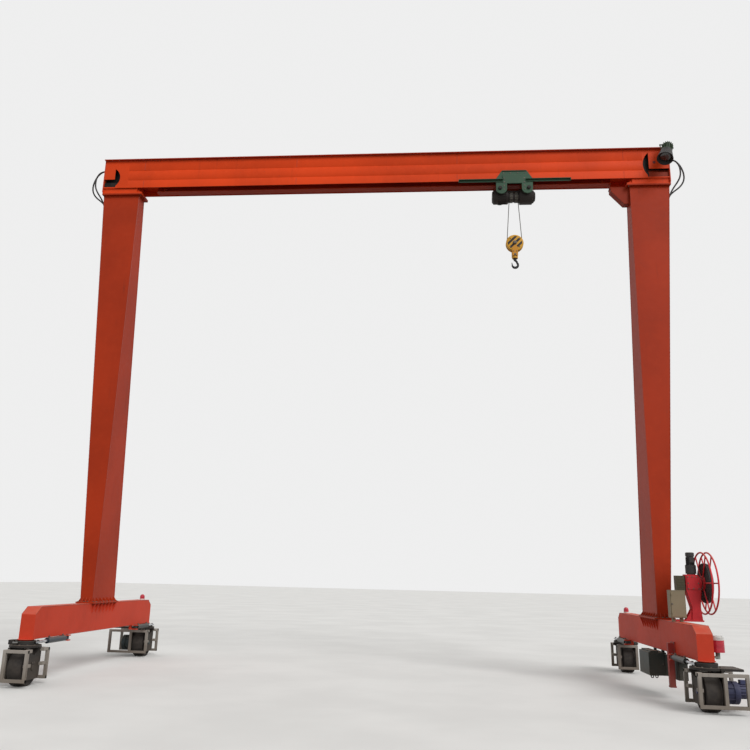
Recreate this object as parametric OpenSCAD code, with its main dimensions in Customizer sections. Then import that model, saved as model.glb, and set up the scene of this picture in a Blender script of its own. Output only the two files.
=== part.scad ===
// Rubber-tyred single-girder gantry crane, 5 tonne class. Millimetres, +Z up.
// Origin on the floor at mid span. +X runs along the girder, -Y faces the viewer.

/* [Overall] */
// distance between the centre planes of the two end carriages
span = 9600; // [8800:50:10400]
// distance between the steering axes of one end carriage
wheelbase = 4660; // [4300:20:5000]
// height of the girder's top plate above the floor
girder_top_z = 9700; // [9300:10:10100]

/* [Girder] */
// height of the box section from web foot to top plate
box_h = 600; // [520:10:680]
// width of the box section over its webs
box_w = 400; // [360:10:460]
// thickness of the top plate
top_t = 16; // [10:1:24]
// width of the top plate
top_w = 500; // [460:10:600]
// thickness of each web
web_t = 12; // [8:1:16]
// depth of the stiffening creases pressed into the webs
crease_d = 6; // [3:1:9]
// height of the hollow between the web skirts where the trolley wheels run
skirt_h = 130; // [110:5:160]
// distance from the carriage's centre plane to the end of the runway beam
runway_gap = 320; // [300:10:380]
// width of the runway beam's lower flange
flange_w = 150; // [136:2:170]
// thickness of the runway beam's lower flange
flange_t = 20; // [14:1:24]
// thickness of the runway beam's web
beam_web_t = 12; // [8:1:16]
// how far the runway flange hangs below the web skirts
flange_drop = 105; // [95:5:125]
// length of each trolley end stop along the runway
stop_l = 60; // [40:5:80]
// distance from the runway's end to its trolley stop
stop_in = 210; // [190:10:260]

/* [Legs] */
// width of a leg along the girder at the bottom
leg_bot_x = 210; // [180:5:220]
// width of a leg along the girder at the top
leg_top_x = 730; // [640:10:760]
// depth of a leg across the girder at the bottom
leg_bot_y = 912; // [820:8:1000]
// depth of a leg across the girder at the top
leg_top_y = 250; // [220:10:320]
// thickness of the bolted flanges at the leg's top and bottom
leg_flange_t = 25; // [16:1:32]
// width of the top flange across the girder
top_flange_y = 360; // [340:10:400]
// how far the top flange stands out past the leg's outer face
seat_rim = 20; // [12:2:40]
// how far the top flange stands out past the leg's inner face
seat_in = 60; // [40:5:80]
// how far the bottom flange stands out past the leg
foot_rim = 60; // [45:5:80]
// number of stiffening ribs along each side of the leg's foot
rib_n = 7; // [5:1:9]
// height of the ribs on top of the foot flange
rib_up = 70; // [50:5:90]
// height of the ribs under the foot flange
rib_dn = 170; // [120:10:220]
// thickness of a rib
rib_t = 12; // [8:1:16]

/* [End carriages] */
// height of the carriage beam's underside above the floor
sad_z0 = 640; // [620:5:700]
// height of the carriage beam
sad_h = 450; // [400:10:500]
// width of the carriage beam
sad_w = 220; // [200:5:240]
// how far the carriage beam runs past the steering axis
sad_end = 20; // [0:5:60]
// length of the sloping cut at the carriage beam's ends
sad_cut = 150; // [110:10:200]
// radius of the fixed slewing seat under the beam
seat_r = 105; // [95:1:108]
// height of the fixed slewing seat
seat_h = 69; // [60:1:72]

/* [Wheel units] */
// diameter of the solid rubber tyre
tyre_d = 500; // [460:5:520]
// width of the solid rubber tyre
tyre_w = 220; // [190:5:230]
// diameter of the wheel hub
hub_d = 250; // [220:5:270]
// diameter of the slewing plate
slew_d = 500; // [440:10:520]
// thickness of the slewing plate
slew_t = 34; // [26:1:36]
// diameter of the king pin the wheel unit steers on
king_d = 90; // [70:2:110]
// thickness of the wheel fork's cheeks
cheek_t = 20; // [16:1:24]
// diameter of the wheel axle
axle_d = 60; // [50:2:70]
// width of one bay of the bumper frame
bay_w = 400; // [380:10:420]
// width of the outer bay around the drive motor
drive_bay_w = 275; // [250:5:300]
// outside size of the bumper frame's square tube
tube = 44; // [36:2:50]
// height of the bumper frame's lower edge above the floor
frame_z0 = 75; // [50:5:110]
// height of the bumper frame's upper edge above the floor
frame_z1 = 512; // [500:2:520]
// distance from the steering axis to the bumper frame's inner face
frame_y = 276; // [270:2:300]
// diameter of the drive motor
drive_d = 210; // [180:5:230]

/* [Steering] */
// sideways distance from the steering axis to the rod's pin
arm_r = 180; // [174:1:190]
// diameter of the steering cylinder's barrel
barrel_d = 84; // [70:2:90]
// diameter of the steering cylinder's rod
rod_d = 40; // [30:2:46]
// height of the steering cylinder's axis above the floor
cyl_z = 604; // [600:1:606]
// length of the steering cylinder's barrel
barrel_l = 560; // [480:10:600]
// length of the rod seen between the pin and the barrel at rest
rod_out = 270; // [262:2:300]
// diameter of the pin on the slewing plate
pin_d = 24; // [20:1:28]

/* [Reel] */
// outer diameter of the cable reel
reel_d = 950; // [860:10:1000]
// distance between the reel's two rims
reel_gap = 140; // [110:5:170]
// height of the reel's axis above the floor
reel_z = 1665; // [1640:5:1720]
// number of spokes in each rim
spoke_n = 6; // [4:1:8]
// diameter of the round bar of the rims
rim_bar = 26; // [20:1:32]

/* [Trolley and hoist] */
// position of the trolley along the girder
trolley_x = 2630; // [1800:10:2700]
// length of the trolley's side plates
plate_l = 660; // [600:10:700]
// diameter of the trolley wheels
twheel_d = 120; // [110:2:126]
// diameter of the hoist's motor and gear housings
hous_d = 276; // [250:2:280]
// diameter of the rope drum
drum_d = 200; // [170:5:220]
// length of the gap between motor and gear housings
drum_gap = 220; // [200:5:240]
// length of the motor and gear housings
hous_l = 300; // [260:10:320]
// drop from the drum's axis to the hook block's sheave axis
hook_hang = 980; // [700:10:1400]
// diameter of the hook block's cheeks
block_d = 330; // [300:5:360]
// thickness of the hook block over its cheeks
block_t = 120; // [100:5:140]
// diameter of the hoist rope
rope_d = 14; // [10:1:18]

/* [Fittings] */
// diameter of the round beacons
beacon_d = 92; // [80:2:110]
// diameter of the large beacon beside the near right wheel
lamp_d = 190; // [160:5:210]
// width of the safety foot under the right carriage
sfoot_w = 104; // [80:4:120]
// height of the safety foot's lower face above the floor
sfoot_z = 110; // [80:5:160]

/* [Hidden] */
$fn = 48;
hs = span / 2;
hw = wheelbase / 2;
web_z0 = girder_top_z - box_h - top_t;
web_z1 = girder_top_z - top_t;
fl_z0 = web_z0 - flange_drop;
fl_z1 = fl_z0 + flange_t;
leg_top_z = fl_z0 - 30;
runway_l = span - 2 * runway_gap;
stop_x = runway_l / 2 - stop_in;
seat_z = leg_top_z + leg_flange_t;
sad_z1 = sad_z0 + sad_h;
sad_hl = hw + sad_end;
leg_z0 = sad_z1 + leg_flange_t;
leg_in_bot = hs - leg_bot_x / 2;
leg_out_bot = hs + leg_bot_x / 2;
leg_in_top = hs + 10;
leg_out_top = leg_in_top + leg_top_x;
girder_l = 2 * (leg_out_top + seat_rim);
slew_z1 = sad_z0 - seat_h - 6;
slew_z0 = slew_z1 - slew_t;
axle_z = tyre_d / 2;
cheek_x = tyre_w / 2 + 16;
motor_x = cheek_x + cheek_t;
RED = [0.80, 0.22, 0.10];
CRIMSON = [0.62, 0.08, 0.12];
GREEN = [0.16, 0.36, 0.28];
PALE = [0.80, 0.80, 0.78];
BLACK = [0.06, 0.06, 0.07];

// the leg's inner face at height z
function leg_in(z) = leg_in_bot + (leg_in_top - leg_in_bot) * (z - leg_z0 + 1) / (leg_top_z - leg_z0 + 2);
// upright bar between two corners
module blk(a, b) { translate(a) cube([b[0] - a[0], b[1] - a[1], b[2] - a[2]]); }
// mirrors a right-hand piece to the left when s is -1
module side(s) { if (s < 0) mirror([1, 0, 0]) children(); else children(); }
// mirrors a far piece to the near side when q is -1
module far(q) { if (q < 0) mirror([0, 1, 0]) children(); else children(); }
// flat outline in X and Z, given thickness in Y around y0
module xz(y0, t) { translate([0, y0 + t / 2, 0]) rotate([90, 0, 0]) linear_extrude(t) children(); }
// flat outline in Y and Z, given thickness in X around x0
module yz(x0, t) { translate([x0 - t / 2, 0, 0]) rotate([90, 0, 90]) linear_extrude(t) children(); }

// right half of the girder section: web with two pressed creases, roof over the wheel hollow
module web_half() {
  w = box_w / 2;
  c1 = web_z0 + box_h * 0.27;
  c2 = web_z0 + box_h * 0.62;
  polygon([[beam_web_t / 2, web_z0 + skirt_h], [w - web_t, web_z0 + skirt_h], [w - web_t, web_z0],
    [w, web_z0], [w, c1 - 12], [w - crease_d, c1], [w, c1 + 12], [w, c2 - 12], [w - crease_d, c2],
    [w, c2 + 12], [w, web_z1], [beam_web_t / 2, web_z1]]);
}
module girder_box() {
  color(RED) difference() {
    union() {
      yz(0, girder_l - 2 * 16) { web_half(); mirror([1, 0]) web_half();
        translate([-beam_web_t / 2, web_z0 + skirt_h]) square([beam_web_t, box_h - skirt_h]); }
      for (s = [-1, 1]) side(s) {
        // closing plate, seat over the leg and the seat's flange
        blk([girder_l / 2 - 16, -box_w / 2, seat_z + leg_flange_t], [girder_l / 2, box_w / 2, web_z1]);
        blk([leg_in_top + 40, -box_w / 2 + 30, seat_z], [girder_l / 2 - 16, box_w / 2 - 30, web_z0 + skirt_h]);
        blk([leg_in_top - seat_in, -top_flange_y / 2, seat_z], [leg_out_top + seat_rim, top_flange_y / 2, seat_z + leg_flange_t]);
        for (q = [-1, 1]) far(q) {
          blk([leg_in_top + 60, box_w / 2 - 30, seat_z + leg_flange_t], [girder_l / 2 - 16, box_w / 2, web_z0]);
          // corner rib above the flange's inner end
          xz(box_w / 2 - 60, rib_t) polygon([[leg_in_top - 50, seat_z + leg_flange_t],
            [leg_in_top + 41, seat_z + leg_flange_t], [leg_in_top + 41, seat_z + leg_flange_t + 75]]);
        }
      }
    }
    // bolting pockets cut into both webs at each end
    for (s = [-1, 1]) side(s) for (q = [-1, 1]) far(q)
      xz(box_w / 2, 120) polygon([[girder_l / 2 - 440, web_z0 + 340], [girder_l / 2 - 410, web_z0 + 380],
        [girder_l / 2 - 330, web_z0 + 90], [girder_l / 2 - 90, web_z0 + 40], [girder_l / 2 - 90, web_z0 + 10],
        [girder_l / 2 - 400, web_z0 + 10], [girder_l / 2 - 440, web_z0 + 120]]);
  }
}
module girder_top_plate() {
  color(RED) blk([-girder_l / 2, -top_w / 2, web_z1], [girder_l / 2, top_w / 2, girder_top_z]);
}
module runway_beam() {
  color(RED) {
    blk([-runway_l / 2, -beam_web_t / 2, fl_z0], [runway_l / 2, beam_web_t / 2, web_z0 + skirt_h]);
    blk([-runway_l / 2, -flange_w / 2, fl_z0], [runway_l / 2, flange_w / 2, fl_z1]);
    for (s = [-1, 1]) side(s) for (q = [-1, 1]) far(q)
      blk([stop_x, 0, fl_z1 - 1], [stop_x + stop_l, flange_w / 2, fl_z1 + 90]);
  }
}
// tapered leg, wide along the girder at the top and deep across it at the bottom
module leg() {
  color(RED) {
    intersection() {
      xz(0, leg_bot_y + 40) polygon([[leg_in_bot, leg_z0 - 1], [leg_out_bot, leg_z0 - 1],
        [leg_out_top, leg_top_z + 1], [leg_in_top, leg_top_z + 1]]);
      yz((leg_in_bot + leg_out_top) / 2, leg_top_x + leg_bot_x + 400) polygon([[-leg_bot_y / 2, leg_z0 - 2],
        [leg_bot_y / 2, leg_z0 - 2], [leg_top_y / 2, leg_top_z + 2], [-leg_top_y / 2, leg_top_z + 2]]);
    }
    blk([leg_in_top - seat_in, -top_flange_y / 2, leg_top_z], [leg_out_top + seat_rim, top_flange_y / 2, seat_z]);
    blk([leg_in_bot - foot_rim, -leg_bot_y / 2 - foot_rim, sad_z1],
      [leg_out_bot + foot_rim, leg_bot_y / 2 + foot_rim, leg_z0]);
    // ribs above the foot flange along the inner and outer faces
    for (i = [0 : rib_n - 1]) translate([0, -leg_bot_y / 2 + 20 + i * (leg_bot_y - 40) / (rib_n - 1), 0]) {
      xz(0, rib_t) polygon([[leg_in_bot - foot_rim + 6, leg_z0 - 1], [leg_in_bot + 20, leg_z0 - 1],
        [leg_in_bot + 20, leg_z0 + rib_up], [leg_in_bot - 1, leg_z0 + rib_up]]);
      xz(0, rib_t) polygon([[leg_out_bot + foot_rim - 6, leg_z0 - 1], [leg_out_bot - 20, leg_z0 - 1],
        [leg_out_bot - 20, leg_z0 + rib_up], [leg_out_bot + 1 + rib_up * 0.08, leg_z0 + rib_up]]);
    }
    // ribs on the front and back faces
    for (q = [-1, 1]) far(q) for (x = [hs - 60, hs, hs + 60])
      yz(x, rib_t) polygon([[leg_bot_y / 2 - 30, leg_z0 - 1], [leg_bot_y / 2 + foot_rim - 6, leg_z0 - 1],
        [leg_bot_y / 2 + 1, leg_z0 + rib_up], [leg_bot_y / 2 - 30, leg_z0 + rib_up]]);
  }
}
module leg_left() { side(-1) leg(); }
module leg_right() { leg(); }
module knee_bracket() {
  x1 = leg_in_top - seat_in;
  gap = 0.3;
  color(RED) {
    xz(0, 200) polygon([[hs - 360, fl_z0 - 24], [x1, fl_z0 - 24], [x1, leg_top_z], [leg_in(leg_top_z) - gap, leg_top_z],
      [leg_in(leg_top_z - 405) - gap, leg_top_z - 405], [hs - 100, leg_top_z - 405], [hs - 350, leg_top_z - 100]]);
    blk([hs - 370, -flange_w / 2, fl_z0 - 25], [x1, flange_w / 2, fl_z0]);
  }
}
// carriage beam with sloping ends, slewing seats and cylinder brackets
module carriage() {
  color(RED) {
    yz(hs, sad_w) polygon([[-sad_hl, sad_z0], [sad_hl, sad_z0], [sad_hl, sad_z1 - 105],
      [sad_hl - sad_cut, sad_z1], [-sad_hl + sad_cut, sad_z1], [-sad_hl, sad_z1 - 105]]);
    for (q = [-1, 1]) far(q) {
      translate([hs, hw, sad_z0 - seat_h]) cylinder(r = seat_r, h = seat_h + 1);
      translate([hs, hw, sad_z0 - 6]) cylinder(r = seat_r + 20, h = 7);
      translate([hs, hw, slew_z0]) cylinder(d = king_d, h = sad_z0 - slew_z0);
      cyl_bracket();
      // ribs under the leg's foot
      for (i = [0 : rib_n - 1]) for (s = [-1, 1])
        translate([hs, -leg_bot_y / 2 + 20 + i * (leg_bot_y - 40) / (rib_n - 1), 0])
          xz(0, rib_t) polygon([[s * (sad_w / 2 - 2), sad_z1], [s * (leg_bot_x / 2 + foot_rim - 6), sad_z1],
            [s * (leg_bot_x / 2 + foot_rim - 6), sad_z1 - 20], [s * sad_w / 2, sad_z1 - rib_dn],
            [s * (sad_w / 2 - 2), sad_z1 - rib_dn]]);
    }
  }
}
cyl_x = hs - arm_r;
cyl_y1 = hw - rod_out;
cyl_y0 = cyl_y1 - barrel_l;
// bracket that carries the barrel's eye, welded to the beam's inner side
module cyl_bracket() {
  for (z = [cyl_z - barrel_d / 2 - 2, cyl_z + barrel_d / 2 - 14])
    blk([cyl_x - 45, cyl_y0 - 120, z], [hs - sad_w / 2 + 40, cyl_y0 - 40, z + 16]);
  blk([hs - sad_w / 2 + 4, cyl_y0 - 120, cyl_z - barrel_d / 2 - 2], [hs - sad_w / 2 + 40, cyl_y0 - 40, sad_z0 + 2]);
  translate([cyl_x, cyl_y0 - 80, cyl_z - barrel_d / 2 - 2]) cylinder(d = pin_d, h = barrel_d + 4);
}
module carriage_left() { side(-1) carriage(); }
module carriage_right() { carriage(); }
module safety_foot() {
  color(CRIMSON) {
    blk([hs - sfoot_w / 2, -800 - sfoot_w / 2, sfoot_z + 30], [hs + sfoot_w / 2, -800 + sfoot_w / 2, sad_z0]);
    blk([hs - sfoot_w / 2 - 6, -800 - sfoot_w / 2 - 6, sfoot_z], [hs + sfoot_w / 2 + 6, -800 + sfoot_w / 2 + 6, sfoot_z + 30]);
  }
}
module control_cabinet() {
  color(GREEN * 0.5) {
    blk([hs - 330, -650, 260], [hs - 60, -60, 600]);
    for (y = [-600, -150]) blk([hs - 110, y, 599], [hs - 70, y + 40, sad_z0]);
  }
}
module cabinet_near() {
  color(GREEN * 0.5) {
    blk([hs - 90, -1350, 270], [hs + 100, -900, 580]);
    for (y = [-1320, -980]) blk([hs - 40, y, 579], [hs + 40, y + 40, sad_z0]);
  }
}
module switch_box() {
  color([0.42, 0.44, 0.36]) {
    blk([hs - 130, -1300, sad_z1 + 60], [hs + 155, -1100, sad_z1 + 460]);
    for (x = [hs - 95, hs + 60]) blk([x, -1230, sad_z1], [x + 40, -1170, sad_z1 + 61]);
  }
}
module slip_ring_box() {
  color([0.40, 0.40, 0.38]) {
    blk([hs + 70, -1000, sad_z1 + 430], [hs + 220, -800, sad_z1 + 690]);
    blk([hs + 72, -920, sad_z1 + 24], [hs + 104, -880, sad_z1 + 431]);
  }
}
reel_y = -930;
reel_x = hs + 530;
// gear case and stand of the reel, bolted on the carriage beam's outer edge
module reel_stand() {
  color(CRIMSON) {
    blk([hs + 30, reel_y - 90, sad_z1], [hs + 420, reel_y + 150, sad_z1 + 24]);
    xz(reel_y, 150) polygon([[hs + 250, sad_z1 + 20], [hs + 410, sad_z1 + 20], [hs + 380, reel_z - 150],
      [hs + 380, reel_z + 110], [hs + 255, reel_z + 110], [hs + 255, reel_z - 60]]);
    translate([hs + 370, reel_y, reel_z]) rotate([0, 90, 0]) cylinder(d = 60, h = 160 + reel_gap / 2 + 50);
  }
}
module reel_motor() {
  color([0.35, 0.36, 0.36]) {
    translate([hs + 320, reel_y, reel_z + 110]) cylinder(d = 170, h = 90);
    translate([hs + 320, reel_y, reel_z + 199]) cylinder(d = 136, h = 220);
  }
}
module rim(x) {
  translate([x, reel_y, reel_z]) rotate([0, 90, 0]) {
    rotate_extrude($fn = 64) translate([reel_d / 2 - rim_bar / 2, 0]) circle(d = rim_bar, $fn = 16);
    for (i = [0 : spoke_n - 1]) rotate([0, 0, i * 360 / spoke_n]) translate([90, 0, 0]) rotate([0, 90, 0])
      cylinder(d = rim_bar * 0.8, h = reel_d / 2 - 90 - rim_bar / 2, $fn = 16);
  }
}
module reel() {
  color(CRIMSON) {
    for (x = [reel_x - reel_gap / 2, reel_x + reel_gap / 2]) rim(x);
    translate([reel_x - reel_gap / 2 - 12, reel_y, reel_z]) rotate([0, 90, 0]) difference() {
      cylinder(d = 220, h = reel_gap + 24);
      translate([0, 0, -1]) cylinder(d = 60.1, h = reel_gap + 26);
    }
  }
}
module dome(x, y) {
  translate([x, y, sad_z1]) {
    cylinder(d = beacon_d + 6, h = 22);
    translate([0, 0, 21]) cylinder(d = beacon_d, h = beacon_d * 0.45);
    translate([0, 0, 21 + beacon_d * 0.45 - 1]) intersection() {
      sphere(d = beacon_d);
      cylinder(d = beacon_d, h = beacon_d);
    }
  }
}
module beacon_left() { color(CRIMSON) dome(-hs, sad_hl - sad_cut - 70); }
module beacon_right() { color(CRIMSON) dome(hs, sad_hl - sad_cut - 70); }
module beacon_near() {
  x = hs + sad_w / 2 + lamp_d / 2 + 30;
  color(CRIMSON) {
    translate([x, -2110, 740]) cylinder(d = lamp_d, h = 200);
    translate([x, -2110, 930]) cylinder(d = lamp_d * 0.8, h = 30);
    translate([x, -2110, 650]) cylinder(d = 60, h = 91);
    blk([hs + sad_w / 2, -2140, 660], [x, -2080, 690]);
  }
}
flood_x = girder_l / 2 - 160;
module floodlight() {
  color(GREEN) {
    blk([flood_x - 30, -top_w / 2 - 60, web_z1 - 60], [flood_x + 30, -top_w / 2 + 20, web_z1]);
    translate([flood_x, -top_w / 2 - 170, web_z1 - 90]) rotate([-35, 0, 0]) {
      blk([-150, -110, -160], [150, 60, 160]);
      blk([-110, 59, -100], [110, 130, 100]);
    }
  }
}
// fork and slewing plate around one wheel, axis on Z, outward side +X
module head(drive) {
  color(BLACK) {
    difference() {
      translate([0, 0, slew_z0]) cylinder(d = slew_d, h = slew_t);
      translate([0, 0, slew_z0 + slew_t - 3]) cylinder(r = seat_r + 25, h = 4);
      translate([0, 0, slew_z0 - 1]) cylinder(d = king_d + 0.1, h = slew_t + 2);
    }
    for (s = [-1, 1]) side(s) difference() {
      blk([cheek_x, -100, axle_z - 60], [cheek_x + cheek_t, 100, slew_z0 + 1]);
      translate([cheek_x - 1, 0, axle_z]) rotate([0, 90, 0]) cylinder(d = axle_d + 0.1, h = cheek_t + 2);
    }
    translate([-arm_r, 0, slew_z1 - 1]) cylinder(d = pin_d, h = cyl_z + 24 - slew_z1);
    if (drive) blk([150, -200, slew_z0], [bay_w / 2 + drive_bay_w + 30, 200, slew_z1]);
  }
}
// bumper frames before and behind one wheel
module bumper(drive) {
  x0 = -bay_w / 2;
  x1 = bay_w / 2;
  x2 = drive ? x1 + drive_bay_w : x1;
  z0 = frame_z0;
  z1 = min(frame_z1, slew_z0 - 8);
  color(PALE) for (q = [-1, 1]) far(q) {
    for (x = drive ? [x0, x1 - tube, x2 - tube] : [x0, x1 - tube])
      blk([x, frame_y, z0], [x + tube, frame_y + tube, z1]);
    for (z = [z0, z1 - tube]) blk([x0, frame_y, z], [x2, frame_y + tube, z + tube]);
    // stub arms back to the fork
    for (s = [-1, 1]) side(s) for (z = [z1 - tube, (z0 + z1) / 2 - tube / 2])
      blk([cheek_x, 100, z], [cheek_x + tube, frame_y + 1, z + tube]);
  }
}
module wheel() {
  color(BLACK) rotate([0, 90, 0]) difference() {
    union() {
      translate([0, 0, -tyre_w / 2 + 18]) cylinder(d = tyre_d, h = tyre_w - 36, $fn = 72);
      for (s = [0, 1]) mirror([0, 0, s]) translate([0, 0, tyre_w / 2 - 18.5])
        cylinder(d1 = tyre_d, d2 = tyre_d - 40, h = 18.5, $fn = 72);
      cylinder(d = hub_d - 90, h = tyre_w + 20, center = true);
    }
    cylinder(d = axle_d + 0.1, h = tyre_w + 40, center = true);
    for (s = [0, 1]) mirror([0, 0, s]) translate([0, 0, tyre_w / 2 - 30]) difference() {
      cylinder(d = hub_d, h = 60);
      translate([0, 0, -1]) cylinder(d = hub_d - 90, h = 62);
    }
  }
}
module drive_unit() {
  color([0.16, 0.30, 0.40]) {
    translate([motor_x, 0, axle_z]) rotate([0, 90, 0]) {
      cylinder(d = drive_d - 20, h = 70);
      translate([0, 0, 69]) cylinder(d = drive_d, h = 190);
    }
    translate([-cheek_x - cheek_t - 12, 0, axle_z]) rotate([0, 90, 0]) cylinder(d = axle_d, h = cheek_x + cheek_t + 13 + motor_x);
  }
}
module idle_axle() {
  translate([-cheek_x - cheek_t - 12, 0, axle_z]) rotate([0, 90, 0]) cylinder(d = axle_d, h = 2 * (cheek_x + cheek_t) + 24);
}
// places a wheel unit: s is the side, q is near -1 or far 1
module at(s, q) { side(s) far(q) translate([hs, hw, 0]) children(); }
module wheel_head_ln() { at(-1, -1) head(false); color(BLACK) at(-1, -1) idle_axle(); }
module wheel_head_lf() { at(-1, 1) head(true); }
module wheel_head_rn() { at(1, -1) head(true); }
module wheel_head_rf() { at(1, 1) head(false); color(BLACK) at(1, 1) idle_axle(); }
module bumper_ln() { at(-1, -1) bumper(false); }
module bumper_lf() { at(-1, 1) bumper(true); }
module bumper_rn() { at(1, -1) bumper(true); }
module bumper_rf() { at(1, 1) bumper(false); }
module drive_lf() { at(-1, 1) drive_unit(); }
module drive_rn() { at(1, -1) drive_unit(); }
module wheel_ln() { at(-1, -1) translate([0, 0, axle_z]) wheel(); }
module wheel_lf() { at(-1, 1) translate([0, 0, axle_z]) wheel(); }
module wheel_rn() { at(1, -1) translate([0, 0, axle_z]) wheel(); }
module wheel_rf() { at(1, 1) translate([0, 0, axle_z]) wheel(); }
// steering cylinder barrel: eye at the bracket, open at the rod's end
module barrel() {
  color([0.10, 0.42, 0.50]) translate([cyl_x, 0, cyl_z]) {
    difference() {
      union() {
        translate([0, cyl_y1, 0]) rotate([90, 0, 0]) cylinder(d = barrel_d, h = barrel_l);
        blk([-18, cyl_y0 - 80, -22], [18, cyl_y0 + 1, 22]);
        translate([0, cyl_y0 - 80, -22]) cylinder(d = 64, h = 44);
      }
      translate([0, cyl_y1 + 1, 0]) rotate([90, 0, 0]) cylinder(d = rod_d + 0.1, h = barrel_l - 40);
      translate([0, cyl_y0 - 80, -30]) cylinder(d = pin_d + 0.1, h = 60);
    }
  }
}
module rod() {
  color([0.75, 0.76, 0.78]) translate([cyl_x, 0, cyl_z]) difference() {
    union() {
      translate([0, hw - 30, 0]) rotate([90, 0, 0]) cylinder(d = rod_d, h = rod_out + 260);
      translate([0, hw, -14]) cylinder(d = 76, h = 28);
    }
    translate([0, hw, -20]) cylinder(r = pin_d / 2 + 6, h = 40);
  }
}
module cylinder_ln() { side(-1) far(-1) barrel(); }
module cylinder_lf() { side(-1) barrel(); }
module cylinder_rn() { far(-1) barrel(); }
module cylinder_rf() { barrel(); }
module rod_ln() { side(-1) far(-1) rod(); }
module rod_lf() { side(-1) rod(); }
module rod_rn() { far(-1) rod(); }
module rod_rf() { rod(); }
tax_z = fl_z1 + twheel_d / 2 + 0.5;
plate_y = box_w / 2 + 26;
shaft_z = fl_z0 - 55;
shaft_x = plate_l / 2 - 72;
hoist_z = fl_z0 - 12 - hous_d / 2;
hook_z = hoist_z - hook_hang;
// side plate of the trolley with its two wheels
module trolley_side() {
  h = plate_l / 2;
  color(GREEN) {
    xz(plate_y, 16) difference() {
      polygon([[-h, fl_z1 + 60], [-h + 110, fl_z1 + 190], [h - 110, fl_z1 + 190], [h, fl_z1 + 60],
        [h - 10, fl_z0 - 120], [h - 50, fl_z0 - 160], [h - 200, fl_z0 - 160], [h - 200, fl_z0 + 4],
        [-h + 200, fl_z0 + 4], [-h + 200, fl_z0 - 160], [-h + 50, fl_z0 - 160], [-h + 10, fl_z0 - 120]]);
      for (x = [-shaft_x, shaft_x]) translate([x, shaft_z]) circle(d = 50.1);
    }
    for (x = [-shaft_x, shaft_x]) {
      translate([x, 0, tax_z]) rotate([-90, 0, 0]) {
        translate([0, 0, 30]) cylinder(d = 24, h = plate_y - 30);
        translate([0, 0, beam_web_t / 2 + 12]) cylinder(d = twheel_d, h = flange_w / 2 - 20 - beam_web_t / 2);
        translate([0, 0, flange_w / 2 + 6]) cylinder(d = twheel_d + 14, h = 14);
      }
    }
  }
}
module trolley_front() { translate([trolley_x, 0, 0]) far(-1) trolley_side(); }
module trolley_back() { translate([trolley_x, 0, 0]) trolley_side(); }
module hoist_body() {
  color([0.09, 0.09, 0.09]) translate([trolley_x, 0, 0]) {
    translate([0, 0, hoist_z]) rotate([0, 90, 0]) {
      translate([0, 0, -drum_gap / 2 - hous_l]) cylinder(d = hous_d, h = hous_l);
      translate([0, 0, drum_gap / 2]) cylinder(d = hous_d, h = hous_l);
      translate([0, 0, -drum_gap / 2 - 1]) cylinder(d = drum_d, h = drum_gap + 2);
    }
    // cross shafts that hang the hoist from the side plates
    for (x = [-shaft_x, shaft_x]) translate([x, 0, shaft_z]) rotate([90, 0, 0]) {
      cylinder(d = 50, h = 2 * (plate_y + 22), center = true);
    }
  }
}
fall_top = hoist_z - drum_d / 2 - 0.5;
fall_dx = block_d / 2 - 28 + rope_d / 2 + 0.5;
// one straight fall of rope, tilted out from the drum to the sheave
module fall(s) {
  x0 = s * (drum_gap / 2 - 24);
  x1 = s * fall_dx;
  z0 = hook_z;
  z1 = fall_top;
  a = atan2(x1 - x0, z1 - z0);
  translate([trolley_x + x1, 0, z0]) rotate([0, -a, 0])
    cylinder(d = rope_d, h = sqrt(pow(x1 - x0, 2) + pow(z1 - z0, 2)), $fn = 12);
}
module hoist_ropes() { color([0.3, 0.3, 0.3]) for (s = [-1, 1]) fall(s); }
module hook_block() {
  color([0.90, 0.66, 0.10]) translate([trolley_x, 0, hook_z]) {
    difference() {
      rotate([90, 0, 0]) cylinder(d = block_d, h = block_t, center = true, $fn = 64);
      rotate([90, 0, 0]) difference() {
        cylinder(d = block_d + 10, h = block_t - 50, center = true);
        cylinder(d = block_d - 56, h = block_t - 40, center = true);
      }
    }
    translate([0, 0, -(block_d / 2 + 70)]) cylinder(d = 104, h = 130);
    translate([0, 0, -(block_d / 2 + 140)]) difference() {
      cylinder(d = 110, h = 72);
      translate([0, 0, -1]) cylinder(d = 40.1, h = 60);
    }
  }
}
module hook() {
  z = hook_z - block_d / 2 - 140;
  color([0.12, 0.12, 0.13]) translate([trolley_x, 0, z]) {
    translate([0, 0, -70]) cylinder(d = 40, h = 120);
    translate([0, 0, -130]) xz(0, 42) difference() {
      union() { circle(d = 150); translate([-22, 0]) square([44, 84]); }
      circle(d = 66);
      translate([-80, 0]) square([62, 80]);
    }
  }
}

girder_box();
girder_top_plate();
runway_beam();
leg_left();
leg_right();
knee_bracket();
carriage_left();
carriage_right();
safety_foot();
control_cabinet();
cabinet_near();
switch_box();
slip_ring_box();
reel_stand();
reel_motor();
reel();
beacon_left();
beacon_right();
beacon_near();
floodlight();
wheel_head_ln();
wheel_head_lf();
wheel_head_rn();
wheel_head_rf();
bumper_ln();
bumper_lf();
bumper_rn();
bumper_rf();
drive_lf();
drive_rn();
wheel_ln();
wheel_lf();
wheel_rn();
wheel_rf();
cylinder_ln();
cylinder_lf();
cylinder_rn();
cylinder_rf();
rod_ln();
rod_lf();
rod_rn();
rod_rf();
trolley_front();
trolley_back();
hoist_body();
hoist_ropes();
hook_block();
hook();
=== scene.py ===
import bmesh
import bpy
import numpy as np
from mathutils import Matrix


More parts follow.
